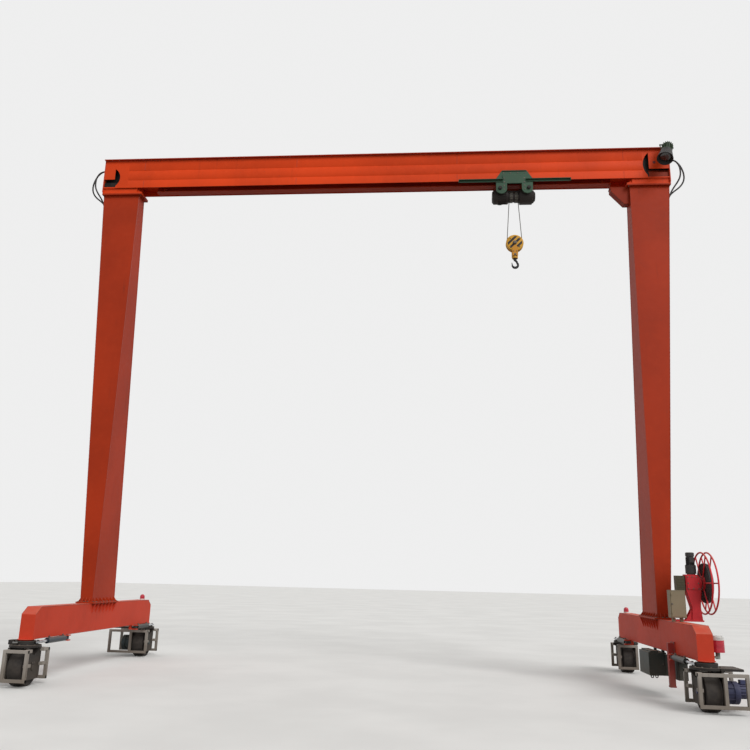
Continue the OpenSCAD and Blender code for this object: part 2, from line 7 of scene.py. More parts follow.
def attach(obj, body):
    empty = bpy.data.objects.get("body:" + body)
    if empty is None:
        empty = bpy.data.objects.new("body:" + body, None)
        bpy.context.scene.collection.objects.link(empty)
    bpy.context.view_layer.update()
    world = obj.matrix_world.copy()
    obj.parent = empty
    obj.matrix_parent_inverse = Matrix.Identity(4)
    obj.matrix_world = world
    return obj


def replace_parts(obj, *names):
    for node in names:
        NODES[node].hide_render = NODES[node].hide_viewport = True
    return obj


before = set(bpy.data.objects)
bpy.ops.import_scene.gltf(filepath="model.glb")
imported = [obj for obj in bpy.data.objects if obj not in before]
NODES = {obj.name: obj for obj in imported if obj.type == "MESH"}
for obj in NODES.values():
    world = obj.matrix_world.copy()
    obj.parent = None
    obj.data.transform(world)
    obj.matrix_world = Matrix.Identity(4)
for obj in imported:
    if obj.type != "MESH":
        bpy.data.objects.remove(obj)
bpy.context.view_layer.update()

# main places of the crane in metres: steering axes, girder, trolley, wheels, drum and shafts, legs and beams
AXIS_X, AXIS_Y = 4.8, 2.33
GIRDER_END, GIRDER_TOP = 5.56, 9.7
TROLLEY_X = 2.63
HOOK_Z = 7.849
WHEEL_Z = 0.25
DRUM_Z, SHAFT_Z = 8.829, 8.90
FOOT_TOP, LEG_TOP = 1.115, 8.949
BEAM_TOP = 1.088
UNITS = {"ln": (-1, -1), "lf": (-1, 1), "rn": (1, -1), "rf": (1, 1)}
SIDES = (("left", -1), ("right", 1))
ORIGIN = (0, 0, 0)
RIGHT, UP, DOWN = (1, 0, 0), (0, 0, 1), (0, 0, -1)


# ---------------------------------------------------------------- camera

def unit(v):
    """A vector divided by its length."""
    v = np.asarray(v, float)
    return v / np.linalg.norm(v, axis=-1, keepdims=True)


def place_camera():
    """Looks from the eye along a yaw and a pitch; right and up are then turned by the roll:
    r = right cos(roll) + up sin(roll), u = up cos(roll) - right sin(roll)."""
    yaw, pitch, roll = np.radians(5.0435), np.radians(14.8388), 0.0245
    ahead = np.array([-np.sin(yaw) * np.cos(pitch), np.cos(yaw) * np.cos(pitch), np.sin(pitch)])
    right = np.array([np.cos(yaw), np.sin(yaw), 0.0])
    up = np.cross(right, ahead)
    r = right * np.cos(roll) + up * np.sin(roll)
    u = up * np.cos(roll) - right * np.sin(roll)
    lens = bpy.data.cameras.new("photo_view")
    lens.sensor_width = 36.0
    lens.lens = 37.015
    lens.shift_x = 0.00384
    lens.clip_end = 200.0
    eye = bpy.data.objects.new("photo_view", lens)
    turn = np.eye(4)
    turn[:3, 0], turn[:3, 1], turn[:3, 2] = r, u, -ahead
    turn[:3, 3] = (1.17664, -13.74328, 1.6)
    eye.matrix_world = Matrix(turn.tolist())
    bpy.context.scene.collection.objects.link(eye)
    bpy.context.scene.camera = eye


place_camera()


# ---------------------------------------------------------------- mesh tools

def piece(name, parts, body, finish, crease=32.0):
    """Joins (points, faces) parts, some with end polygons, into one mesh object that rides on a body. Doubles
    are merged, normals point outwards, and edges sharper than the crease stay sharp."""
    points, faces, first = [], [], 0
    for p, f, *ends in parts:
        p = np.asarray(p, float).reshape(-1, 3)
        points.append(p)
        faces.extend((np.asarray(f) + first).tolist())
        faces.extend((end + first).tolist() for end in (ends[0] if ends else []))
        first += len(p)
    mesh = bpy.data.meshes.new(name)
    mesh.from_pydata(np.concatenate(points).tolist(), [], faces)
    work = bmesh.new()
    work.from_mesh(mesh)
    bmesh.ops.remove_doubles(work, verts=work.verts, dist=1e-5)
    bmesh.ops.dissolve_degenerate(work, dist=1e-6, edges=work.edges)
    bmesh.ops.recalc_face_normals(work, faces=work.faces)
    work.to_mesh(mesh)
    work.free()
    mesh.polygons.foreach_set("use_smooth", np.ones(len(mesh.polygons), bool))
    mesh.set_sharp_from_angle(angle=np.radians(crease))
    mesh.materials.append(finish.material)
    made = bpy.data.objects.new(name, mesh)
    bpy.context.scene.collection.objects.link(made)
    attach(made, body)
    return made


def grid_faces(rows, columns):
    """Four-cornered faces between closed rings of points: corner (i, j) joins (i, j+1), (i+1, j+1), (i+1, j)."""
    i, j = np.arange(rows - 1)[:, None], np.arange(columns)[None, :]
    a, b = i * columns + j, i * columns + (j + 1) % columns
    return np.stack([a, b, b + columns, a + columns], -1).reshape(-1, 4)


def upright(axis):
    """Three columns at right angles to each other, the last along the axis."""
    z = unit(axis)
    x = unit(np.cross([0.0, 0.0, 1.0], z)) if abs(z[2]) < 0.9 else np.array([1.0, 0.0, 0.0])
    x = unit(x - z * (x @ z))
    return np.stack([x, np.cross(z, x), z], 1)


def turned(profile, centre, axis, sides=32):
    """Lathe: each (radius, height) of the profile goes round the axis,
    point = centre + R (radius cos a, radius sin a, height)."""
    a = np.arange(sides) * 2 * np.pi / sides
    r, h = np.asarray(profile, float).T
    local = np.stack([r[:, None] * np.cos(a), r[:, None] * np.sin(a), h[:, None] + 0 * a], -1)
    return (local @ upright(axis).T + np.asarray(centre, float)).reshape(-1, 3), grid_faces(len(r), sides)


def many(shape, places):
    """Copies one (points, faces) shape to every place by adding the place to its points."""
    points, faces = shape
    places = np.asarray(places, float).reshape(-1, 3)
    moved = (points[None] + places[:, None]).reshape(-1, 3)
    first = np.arange(len(places))[:, None, None] * len(points)
    return moved, (faces[None] + first).reshape(-1, faces.shape[1])


def bolt(size, axis):
    """Hexagon head of a bolt with chamfered corners, on a round washer."""
    r, h = size, size * 0.8
    head, head_faces = turned([(0, -0.1 * h), (r, -0.1 * h), (r, 0.75 * h), (0.86 * r, h), (0, h)], ORIGIN, axis, 6)
    washer, washer_faces = turned([(0, -0.2 * h), (1.35 * r, -0.2 * h), (1.35 * r, 0.12 * h), (1.28 * r, 0.18 * h),
                                   (0, 0.18 * h)], ORIGIN, axis, 14)
    return np.concatenate([head, washer]), np.concatenate([head_faces, washer_faces + len(head)])


def ring_of(n, radius, centre, axis, phase=0.0):
    """n places on a circle round the axis."""
    a = phase + np.arange(n) * 2 * np.pi / n
    local = np.stack([radius * np.cos(a), radius * np.sin(a), 0 * a], -1)
    return local @ upright(axis).T + np.asarray(centre, float)


def carried(path, radius, sides=12, side=(0.0, 1.0, 0.0)):
    """Round bar along a path in one plane: each ring lies across the path's direction,
    point = path + radius (side cos a + normal sin a), with the ends closed to a point."""
    path = np.asarray(path, float)
    ahead = unit(np.gradient(path, axis=0))
    side = np.broadcast_to(unit(side), path.shape)
    normal = unit(np.cross(ahead, side))
    side = np.cross(normal, ahead)
    a = np.arange(sides) * 2 * np.pi / sides
    radius = np.broadcast_to(np.asarray(radius, float), (len(path),))[:, None, None]
    rings = path[:, None] + radius * (side[:, None] * np.cos(a)[:, None] + normal[:, None] * np.sin(a)[:, None])
    start, end = np.repeat(path[:1, None], sides, 1), np.repeat(path[-1:, None], sides, 1)
    return np.concatenate([start, rings, end]).reshape(-1, 3), grid_faces(len(path) + 2, sides)


def smooth_route(points, step):
    """Catmull-Rom curve through the points, sampled every few millimetres:
    p = ((2 p1) + (p2 - p0) t + (2 p0 - 5 p1 + 4 p2 - p3) t^2 + (3 p1 - p0 - 3 p2 + p3) t^3) / 2."""
    p = np.asarray(points, float)
    ends = np.concatenate([[2 * p[0] - p[1]], p, [2 * p[-1] - p[-2]]])
    p0, p1, p2, p3 = ends[:-3], ends[1:-2], ends[2:-1], ends[3:]
    t = np.linspace(0, 1, step, endpoint=False)[None, :, None]
    curve = 0.5 * (2 * p1[:, None] + (p2 - p0)[:, None] * t + (2 * p0 - 5 * p1 + 4 * p2 - p3)[:, None] * t ** 2
                   + (3 * p1 - p0 - 3 * p2 + p3)[:, None] * t ** 3)
    return np.concatenate([curve.reshape(-1, 3), p[-1:]])


def weld(a, b, radius=0.005, step=0.03):
    """Weld bead between two points: a thin bar whose radius swells and shrinks from ring to ring."""
    a, b = np.asarray(a, float), np.asarray(b, float)
    n = max(3, int(np.linalg.norm(b - a) / step))
    swell = radius * (1 + 0.12 * np.sin(np.arange(n) * 2.4))
    across = (0.0, 1.0, 0.0) if abs(unit(b - a)[1]) < 0.8 else (1.0, 0.0, 0.0)
    return carried(np.linspace(a, b, n), swell, 6, across)


def plate(outline, low, high, across, bevel=0.0015):
    """Flat plate: an outline of two coordinates, from low to high along the third, with a small bevel. Its two
    faces are single polygons. across is the index of the thickness axis."""
    outline = np.asarray(outline, float)
    ahead = unit(np.roll(outline, -1, 0) - outline)
    back = unit(outline - np.roll(outline, 1, 0))
    area = np.sum(outline[:, 0] * np.roll(outline[:, 1], -1) - np.roll(outline[:, 0], -1) * outline[:, 1])
    turn = np.sign(area)
    normal = unit(np.stack([-(ahead + back)[:, 1], (ahead + back)[:, 0]], -1)) * turn
    reach = bevel / np.maximum(0.3, np.abs(np.sum(normal * np.stack([-ahead[:, 1], ahead[:, 0]], -1) * turn, -1)))
    inner = outline + normal * reach[:, None]
    rings = [(inner, low), (outline, low + bevel), (outline, high - bevel), (inner, high)]
    others = [k for k in range(3) if k != across]
    n = len(outline)
    points = np.zeros((4, n, 3))
    for k, (flat, level) in enumerate(rings):
        points[k][:, others] = flat
        points[k][:, across] = level
    return points.reshape(-1, 3), grid_faces(4, n), [np.arange(n)[::-1], np.arange(n) + 3 * n]


def block(a, b, bevel=0.002):
    """Sheet-metal block between two corners, its edges broken by a bevel."""
    a, b = np.minimum(a, b), np.maximum(a, b)
    return plate([(a[0], a[1]), (b[0], a[1]), (b[0], b[1]), (a[0], b[1])], a[2], b[2], 2, bevel)


# ---------------------------------------------------------------- paint and metal

def linear(*rgb):
    """Colour as seen on a screen, 0 to 255, to the linear values that a shader takes."""
    c = np.asarray(rgb, float) / 255
    c = np.where(c <= 0.04045, c / 12.92, ((c + 0.055) / 1.055) ** 2.4)
    return (*c.tolist(), 1.0)


class Value:
    """One output of a shader node. + - * / ** and > with other values or numbers add Math nodes."""

    def __init__(self, finish, out):
        self.finish, self.out = finish, out

    def _math(self, operation, first, second):
        return self.finish.node("ShaderNodeMath", {"operation": operation}, {0: first, 1: second})

    def __add__(self, other): return self._math("ADD", self, other)
    def __radd__(self, other): return self._math("ADD", other, self)
    def __sub__(self, other): return self._math("SUBTRACT", self, other)
    def __rsub__(self, other): return self._math("SUBTRACT", other, self)
    def __mul__(self, other): return self._math("MULTIPLY", self, other)
    def __rmul__(self, other): return self._math("MULTIPLY", other, self)
    def __truediv__(self, other): return self._math("DIVIDE", self, other)
    def __rtruediv__(self, other): return self._math("DIVIDE", other, self)
    def __pow__(self, other): return self._math("POWER", self, other)
    def __gt__(self, other): return self._math("GREATER_THAN", self, other)
    def __lt__(self, other): return self._math("LESS_THAN", self, other)


class Finish:
    """A material while it is made, with the slot it fills. node() adds a node of any kind, with its settings
    and inputs."""

    def __init__(self, name, slot=None):
        self.slot = slot or name
        self.material = bpy.data.materials.new(name)
        self.material.use_nodes = True
        self.tree = self.material.node_tree
        self.shader = self.tree.nodes["Principled BSDF"]
        self.place = self.node("ShaderNodeTexCoord", output="Object")
        self.x, self.y, self.z = (self.node("ShaderNodeSeparateXYZ", inputs={0: self.place}, output=k) for k in "XYZ")

    def node(self, kind, settings=None, inputs=None, output=0):
        made = self.tree.nodes.new(kind)
        for key, value in (settings or {}).items():
            setattr(made, key, value)
        for key, value in (inputs or {}).items():
            if isinstance(value, Value):
                self.tree.links.new(value.out, made.inputs[key])
            else:
                made.inputs[key].default_value = value
        return Value(self, made.outputs[output])

    def scaled(self, x, y, z):
        """Object coordinates stretched by three factors."""
        return self.node("ShaderNodeVectorMath", {"operation": "MULTIPLY"}, {0: self.place, 1: (x, y, z)})

    def noise(self, scale, detail=2.0, stretch=(1, 1, 1), rough=0.55):
        """Cloudy pattern from 0 to 1, so many blotches per metre."""
        return self.node("ShaderNodeTexNoise", {}, {"Vector": self.scaled(*stretch), "Scale": scale,
                                                    "Detail": detail, "Roughness": rough})

    def cells(self, scale, stretch=(1, 1, 1)):
        """Distance to the nearest of many scattered points."""
        return self.node("ShaderNodeTexVoronoi", {}, {"Vector": self.scaled(*stretch), "Scale": scale})

    def between(self, value, low, high):
        """0 below low, 1 above high, and a smooth step between them."""
        return self.node("ShaderNodeMapRange", {"interpolation_type": "SMOOTHSTEP"},
                         {0: value, 1: low, 2: high, 3: 0.0, 4: 1.0})

    def mix(self, share, first, second):
        """Colour that goes from the first to the second as the share goes from 0 to 1."""
        return self.node("ShaderNodeMix", {"data_type": "RGBA"}, {0: share, 6: first, 7: second}, output=2)

    def clouded(self, scale, detail, low, high, first, second):
        """Two colours, 0 to 255, in soft clouds."""
        return self.mix(self.between(self.noise(scale, detail), low, high), linear(*first), linear(*second))

    def facing_up(self):
        """1 on faces that look up, 0 on upright faces and undersides."""
        normal = self.node("ShaderNodeNewGeometry", output="Normal")
        return self.between(self.node("ShaderNodeSeparateXYZ", inputs={0: normal}, output="Z"), 0.35, 0.9)

    def size_of(self, value):
        """Absolute value."""
        return self.node("ShaderNodeMath", {"operation": "ABSOLUTE"}, {0: value})

    def sine(self, value):
        return self.node("ShaderNodeMath", {"operation": "SINE"}, {0: value})

    def bump(self, height, depth, strength=1.0):
        """Normal of a surface raised by the height times the depth in metres."""
        self.feed("Normal", self.node("ShaderNodeBump", {}, {"Height": height, "Distance": depth,
                                                           "Strength": strength}))

    def feed(self, name, value):
        if isinstance(value, Value):
            self.tree.links.new(value.out, self.shader.inputs[name])
        else:
            self.shader.inputs[name].default_value = value


FADED = 0.80    # how dark the darkest clouds of a paint are


def paint(name, colour, slot=None, gloss=0.42, dust=0.35, grime=0.35, chips=0.25, peel=1.0, floor_dirt=0.5,
          black=None, shine=0.35):
    """Brushed or sprayed paint on steel. Broad clouds fade the colour, thin upright runs of grime darken
    it, dust settles on faces that look up, dirt splashes from the floor, and small chips bare the primer.
    black gives, at each point, the share of near-black: black grease or black paint on the carriages and lamp,
    painted shade in the girder's end openings; shine how much of the sky it mirrors."""
    f = Finish(name, slot)
    base = linear(*colour)
    dark = tuple(c * FADED for c in base[:3]) + (1.0,)
    pale = linear(*[min(255, c + 10) for c in colour])
    clouds = f.noise(0.8, 4.0)
    fine = f.noise(9.0, 5.0, rough=0.65)
    tone = f.mix(f.between(clouds, 0.3, 0.7), dark, base)
    tone = f.mix(f.between(fine, 0.45, 0.85) * 0.35, tone, pale)
    runs = f.noise(5.0, 4.0, stretch=(2.6, 2.6, 0.14), rough=0.7)
    blots = f.noise(2.2, 3.0)
    dirt = f.between(runs, 0.55, 0.78) * f.between(blots, 0.42, 0.7) * grime
    tone = f.mix(dirt, tone, linear(58, 40, 32))
    settled = f.facing_up() * f.between(f.noise(3.0, 5.0), 0.25, 0.75) * dust
    tone = f.mix(settled, tone, linear(168, 152, 132))
    splash = (1 - f.between(f.z + f.noise(6.0, 4.0) * 0.5, 0.2, 1.0)) * floor_dirt
    tone = f.mix(splash, tone, linear(104, 92, 80))
    specks = f.cells(26.0)
    worn = f.between(f.noise(14.0, 3.0), 0.62, 0.68) * f.between(0.3 - specks, 0.0, 0.06) * chips
    tone = f.mix(worn, tone, linear(88, 62, 52))
    # near-black mix: real grease or black paint where black() marks them, painted shade in the girder's end openings
    if black:
        tone = f.mix(black(f), tone, f.clouded(8.0, 4.0, 0.4, 0.8, (20, 18, 17), (46, 40, 36)))
    f.feed("Base Color", tone)
    f.feed("Specular IOR Level", shine)
    f.feed("Roughness", gloss + f.noise(18.0, 2.0) * 0.16 + dirt * 0.2 + settled * 0.35 + splash * 0.25 + worn * 0.2)
    ripples = f.noise(120.0, 2.0) * 0.25 + f.noise(22.0, 3.0) * 0.8 - worn * 1.2
    f.bump(ripples, 0.0009 * peel, 0.5)
    return f


def bare_steel(name, colour, slot=None, metal=1.0, rough=0.3, scale=40.0, stretch=(1, 1, 1)):
    """Machined or forged metal: fine marks along one direction vary its roughness and its height."""
    f = Finish(name, slot)
    marks = f.noise(scale, 4.0, stretch=stretch)
    clouds = f.noise(7.0, 3.0)
    f.feed("Base Color", f.mix(f.between(clouds, 0.3, 0.75), linear(*[c * 0.72 for c in colour]), linear(*colour)))
    f.feed("Metallic", metal)
    f.feed("Roughness", rough + marks * 0.22 + clouds * 0.08)
    f.bump(marks, 0.0006, 0.4)
    return f


def painted_slot_shade(f):
    """Painted shade: the insides of the openings at the girder's ends, behind the webs, are painted near-black for
    the shade in them, a little lighter low down at the outer part of the right end.
    """
    x = f.size_of(f.x)
    inside = (x > 5.0) * (x < 5.543) * (f.size_of(f.y) < 0.1875) * (f.z > 9.1)
    return inside * (1 - (f.z < 9.275) * (f.x > 5.17) * 0.35)


def slewing_rings(f):
    """Greased bearing rings and plates under the ends of a carriage beam."""
    return (f.z < 0.6275) * (f.size_of(f.y) > 2.1)


def lamp_hood(f):
    """The lamp's hood: what lies beyond its collar along the beam, measured from the cross bar."""
    along = (f.x - 5.475) * -0.2748 + (f.y + 0.386) * -0.342 + (f.z - 9.59) * -0.8986
    return along > 0.099


# Painted shade: red_paint is set darker than the girder's red, for the dimmer light on the legs and beams
red_paint = paint("red_paint", (172, 52, 18), gloss=0.46, grime=0.40, dust=0.20, floor_dirt=0.0, shine=0.15)
# Painted shade: the knee's red is a darker copy of red_paint, for the shade under the girder
knee_shade_paint = paint("knee_shade_paint", (146, 44, 16), "red_paint", gloss=0.46, grime=0.40, dust=0.20, floor_dirt=0.0,
                   shine=0.15)
olive_paint = paint("olive_paint", (70, 66, 46), "grey_paint", gloss=0.48, grime=0.45)
# Painted light: the girder's red is a brighter copy of red_paint, for the stronger light on its front; its end
# openings get painted shade
girder_lit_paint = paint("girder_lit_paint", (226, 70, 20), "red_paint", gloss=0.42, grime=0.30, dust=0.2, floor_dirt=0.0,
                     black=painted_slot_shade, shine=0.15)
carriage_paint = paint("carriage_paint", (206, 68, 44), gloss=0.48, grime=0.40, floor_dirt=0.0, black=slewing_rings,
                       shine=0.15)
crimson_paint = paint("crimson_paint", (214, 46, 54), gloss=0.38, grime=0.30)
foot_paint = paint("foot_paint", (170, 56, 48), "crimson_paint", gloss=0.5, grime=0.5)
dark_green_paint = paint("dark_green_paint", (42, 50, 47), gloss=0.45, dust=0.5)
grey_paint = paint("grey_paint", (134, 122, 98), gloss=0.48, grime=0.45)
motor_paint = paint("motor_paint", (52, 50, 50), "black_paint", gloss=0.45, grime=0.4)
green_paint = paint("green_paint", (46, 80, 58), gloss=0.42)
lamp_paint = paint("lamp_paint", (46, 64, 42), "green_paint", gloss=0.40, black=lamp_hood)
black_paint = paint("black_paint", (34, 31, 29), gloss=0.52, dust=0.40, grime=0.2, floor_dirt=0.35)
hoist_paint = paint("hoist_paint", (30, 22, 18), "black_paint", gloss=0.52, dust=0.3, grime=0.2)
pale_paint = paint("pale_paint", (166, 160, 152), gloss=0.45, grime=0.85, chips=0.7, floor_dirt=0.75)
blue_paint = paint("blue_paint", (46, 58, 102), gloss=0.40, floor_dirt=0.35)
# Painted shade: the far drive's paint is a darker, greener copy of blue_paint, for the shade it stands in; both
# drives are painted the same blue
shaded_blue_paint = paint("shaded_blue_paint", (36, 66, 72), "blue_paint", gloss=0.40, floor_dirt=0.35)
navy_paint = paint("navy_paint", (38, 48, 58), gloss=0.26, floor_dirt=0.25)
oily_paint = paint("oily_paint", (32, 34, 30), gloss=0.32, floor_dirt=0.2)
# Painted shade: dark red for the disc that stands for the shade inside the hole in the girder's right end tab
hole_shade_paint = paint("hole_shade_red", (112, 24, 20), "red_paint", gloss=0.4, floor_dirt=0.0)
strap_paint = paint("strap_yellow", (206, 140, 30), "yellow_paint", gloss=0.38, grime=0.3, chips=0.4, floor_dirt=0.0)
weld_metal = paint("weld_red", (160, 50, 20), "red_paint", gloss=0.42, peel=4.0, floor_dirt=0.0)
bolt_steel = bare_steel("bolt_steel", (120, 112, 104), "black_paint", metal=0.85, rough=0.42)
galvanised = bare_steel("galvanised", (168, 168, 164), "pale_paint", metal=0.7, rough=0.38, scale=24.0)
chrome = bare_steel("chromed_rod", (206, 208, 212), metal=1.0, rough=0.10, scale=90.0, stretch=(1, 0.1, 1))
forged = bare_steel("forged_hook", (62, 62, 64), metal=0.7, rough=0.5, scale=30.0)


def tyre_rubber():
    """Solid tyre on a painted disc, told apart by the distance from the axle; dust lies on the shoulders and tread.
    """
    f = Finish("tyre_rubber")
    near_y = f.size_of(f.y) - AXIS_Y
    radius = (near_y * near_y + (f.z - WHEEL_Z) * (f.z - WHEEL_Z)) ** 0.5
    rubber = f.clouded(5.0, 4.0, 0.35, 0.8, (36, 32, 30), (54, 47, 43))
    tread = f.between(radius, 0.235, 0.25)
    rubber = f.mix(tread * f.between(f.noise(12.0, 4.0), 0.3, 0.7) * 0.35, rubber, linear(84, 76, 68))
    disc = f.clouded(20.0, 3.0, 0.5, 0.75, (150, 46, 32), (84, 56, 46))
    on_disc = 1 - f.between(radius, 0.1248, 0.1252)
    f.feed("Base Color", f.mix(on_disc, rubber, disc))
    f.feed("Roughness", 0.78 - on_disc * 0.3 + f.noise(50.0, 2.0) * 0.12)
    f.bump(f.noise(90.0, 3.0) + f.noise(14.0, 2.0) * 0.6, 0.0012, 0.5)
    return f


def rope_strands():
    """Steel rope: strands cross it at a slant, sin of height and side, and the colour is darker in the grooves and
    paler on the strands' crowns.
    """
    f = Finish("rope_steel")
    lay = f.sine(f.z * 260.0 + f.y * 520.0)
    wires = f.sine(f.z * 1400.0 - f.y * 1800.0)
    f.feed("Base Color", f.mix(f.between(lay, -0.6, 0.6), linear(36, 33, 30), linear(120, 116, 108)))
    f.feed("Metallic", 0.6)
    f.feed("Roughness", 0.45 + f.noise(30.0, 2.0) * 0.2)
    f.bump(lay * 0.8 + wires * 0.2, 0.0016, 0.8)
    return f


def striped_block():
    """Yellow paint with slanting black warning stripes on the cheeks: the fraction of (x - z) over one pitch
    picks the colour, inside a plain rim."""
    f = paint("yellow_paint", (214, 158, 40), gloss=0.38, grime=0.5, chips=0.5, floor_dirt=0.0)
    pitch = 0.116
    across, up = f.x - TROLLEY_X, f.z - HOOK_Z
    wave = f.sine((across - up) * (2 * np.pi / pitch) + 1.2)
    stripe = f.between(wave + (f.noise(60.0, 2.0) - 0.5) * 0.12, -0.13, -0.07)
    stripe = stripe * (1 - f.between((across * across + up * up) ** 0.5, 0.134, 0.137)) * (f.size_of(f.y) > 0.03)
    colour = f.shader.inputs["Base Color"].links[0].from_socket
    black = f.clouded(30.0, 3.0, 0.5, 0.8, (30, 20, 18), (58, 48, 40))
    f.feed("Base Color", f.mix(stripe, Value(f, colour), black))
    return f


def cable_sheath():
    """Black rubber sheath with a dull bloom and a fine moulded grain."""
    f = Finish("cable_rubber", "tyre_rubber")
    f.feed("Base Color", f.clouded(12.0, 4.0, 0.4, 0.75, (24, 23, 23), (52, 49, 46)))
    f.feed("Roughness", 0.55 + f.noise(60.0, 2.0) * 0.15)
    f.bump(f.noise(240.0, 2.0), 0.0004, 0.4)
    return f


def lens_red():
    """Moulded red lens of a beacon. The feet of the round ones are white, and the near one's stem is
    galvanised."""
    f = Finish("beacon_lens")
    red = f.clouded(20.0, 3.0, 0.3, 0.8, (168, 30, 50), (196, 48, 62))
    low = f.z < 0.9
    stem = low * (f.z < 0.7395)
    foot = (1 - low) * (f.z < 1.1125)
    grey = f.clouded(14.0, 3.0, 0.3, 0.7, (120, 126, 116), (160, 166, 156))
    white = f.clouded(30.0, 3.0, 0.3, 0.7, (178, 176, 172), (214, 212, 208))
    tone = f.mix(foot, f.mix(stem, red, grey), white)
    f.feed("Base Color", tone)
    f.feed("Roughness", 0.2 + f.noise(40.0, 2.0) * 0.1 + stem * 0.2)
    return f


def lamp_glass():
    """Clear ribbed glass in front of the lamp's reflector."""
    f = Finish("lamp_glass", "black_paint")
    ribs = f.sine(f.x * 420.0)
    f.feed("Base Color", f.clouded(9.0, 3.0, 0.3, 0.8, (34, 38, 37), (62, 66, 64)))
    f.feed("Roughness", 0.12 + f.noise(30.0, 2.0) * 0.08)
    f.feed("Coat Weight", 0.8)
    f.bump(ribs, 0.0008, 0.6)
    return f


tyre = tyre_rubber()
rope = rope_strands()
block_paint = striped_block()
sheath = cable_sheath()
lens = lens_red()
glass = lamp_glass()

PAINTED = {
    "girder_box": girder_lit_paint,
    "girder_top_plate runway_beam leg_left leg_right knee_bracket": red_paint,
    "carriage_left carriage_right": carriage_paint,
    "reel_stand reel": crimson_paint,
    "safety_foot": foot_paint,
    "beacon_left beacon_right beacon_near": lens,
    "control_cabinet cabinet_near": dark_green_paint,
    "switch_box slip_ring_box": grey_paint,
    "reel_motor": motor_paint,
    "trolley_front trolley_back": green_paint,
    "floodlight": lamp_paint,
    "wheel_head_ln wheel_head_lf wheel_head_rn wheel_head_rf": black_paint,
    "hoist_body": hoist_paint,
    "bumper_ln bumper_lf bumper_rn bumper_rf": pale_paint,
    "drive_rn": blue_paint,
    "drive_lf": shaded_blue_paint,
    "wheel_ln wheel_lf wheel_rn wheel_rf": tyre,
    "cylinder_ln": navy_paint,
    "cylinder_lf cylinder_rn cylinder_rf": oily_paint,
    "rod_ln rod_lf rod_rn rod_rf": chrome,
    "hoist_ropes": rope,
    "hook_block": block_paint,
    "hook": forged,
}
for names, finish in PAINTED.items():
    for name in names.split():
        NODES[name].data.materials.clear()
        NODES[name].data.materials.append(finish.material)


# ---------------------------------------------------------------- cables that loop out of the girder's ends

LOOP_OUTER = [(24, 100), (60, 100), (120, 108), (178, 130), (228, 168), (270, 220), (304, 282), (328, 350),
              (342, 420), (344, 492), (330, 560), (300, 622), (258, 676), (208, 722), (152, 764), (98, 806),
              (52, 848), (18, 896), (-10, 944), (-30, 985)]
LOOP_INNER = [(24, 160), (56, 160), (104, 166), (150, 184), (188, 214), (218, 256), (238, 306), (248, 362),
              (250, 420), (244, 480), (228, 538), (202, 592), (170, 644), (134, 694), (98, 744), (64, 796),
              (36, 846), (12, 894), (-12, 944), (-30, 985)]
for side_name, s in SIDES:
    for which, route, y in (("outer", LOOP_OUTER, 0.045), ("inner", LOOP_INNER, -0.045)):
        route = np.array(route) / 1000 * (0.94, 1)
        ends = np.stack([s * (GIRDER_END + route[:, 0]), np.full(len(route), y), GIRDER_TOP - route[:, 1]], -1)
        path = smooth_route(ends, 5)
        name = f"loop_{side_name}_{which}"
        loop = piece(name, [carried(path, 0.015, 16)], "frame", sheath)


# ---------------------------------------------------------------- forms that the plain solids lack

def bar(start, end, radius, edge=0.003, sides=40):
    """Round bar between two points, its end edges broken."""
    start, end = np.asarray(start, float), np.asarray(end, float)
    h = float(np.linalg.norm(end - start))
    return turned([(0, 0), (radius - edge, 0), (radius, edge), (radius, h - edge), (radius - edge, h), (0, h)],
                  start, end - start, sides)


def ring_bar(radius, thick, centre, axis, sides=96):
    """Round bar bent to a ring: a circle of half the thickness goes round the axis at the radius."""
    a = np.linspace(0, 2 * np.pi, 17)
    return turned(np.stack([radius + thick / 2 * np.cos(a), thick / 2 * np.sin(a)], 1), centre, axis, sides)


def fins(n, radius, out, low, high, thick, centre, axis):
    """n flat cooling fins: one bar along the axis, turned round it by 2 pi k / n."""
    corners = np.array([(i, j, k) for k in (0, 1) for i, j in ((0, 0), (1, 0), (1, 1), (0, 1))], float)
    local = np.array([radius - 0.002, -thick / 2, low]) + corners * (out + 0.002, thick, high - low)
    a = np.arange(n)[:, None] * 2 * np.pi / n
    x = local[:, 0] * np.cos(a) - local[:, 1] * np.sin(a)
    y = local[:, 0] * np.sin(a) + local[:, 1] * np.cos(a)
    points = np.stack([x, y, local[:, 2] + 0 * x], -1) @ upright(axis).T + np.asarray(centre, float)
    sides = np.array([(0, 3, 2, 1), (4, 5, 6, 7), (0, 1, 5, 4), (1, 2, 6, 5), (2, 3, 7, 6), (3, 0, 4, 7)])
    return points.reshape(-1, 3), (sides[None] + 8 * np.arange(n)[:, None, None]).reshape(-1, 4)


def motor(centre, axis, d, h):
    """Motor with a finned body and a fan cover at its far end."""
    r = d / 2
    body = [(0, 0), (r - 0.012, 0), (r - 0.012, 0.68 * h), (r, 0.68 * h), (r, 0.96 * h), (r - 0.015, h), (0, h)]
    return [turned(body, centre, axis, 40), fins(16, r - 0.012, 0.012, 0, 0.62 * h, 0.005, centre, axis)]


def arc(x, z, radius, start, end, n=17):
    """n points on a circle round (x, z), from the start angle to the end angle in degrees."""
    a = np.radians(np.linspace(start, end, n))
    return list(zip(x + radius * np.cos(a), z + radius * np.sin(a)))


def mirrored(parts, s=1, q=1, shift=(0, 0, 0)):
    """Parts with x times s and y times q, then shifted."""
    return [(p * (s, q, 1) + np.asarray(shift, float), *rest) for p, *rest in parts]


def stand_for(nodes, name, parts, body, finish, crease=32.0):
    """A new piece that stands for CAD nodes."""
    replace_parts(piece(name, parts, body, finish, crease), *nodes.split())


WEB_LOW, WEB_TOP = 9.084, 9.684
SEAT = 8.974


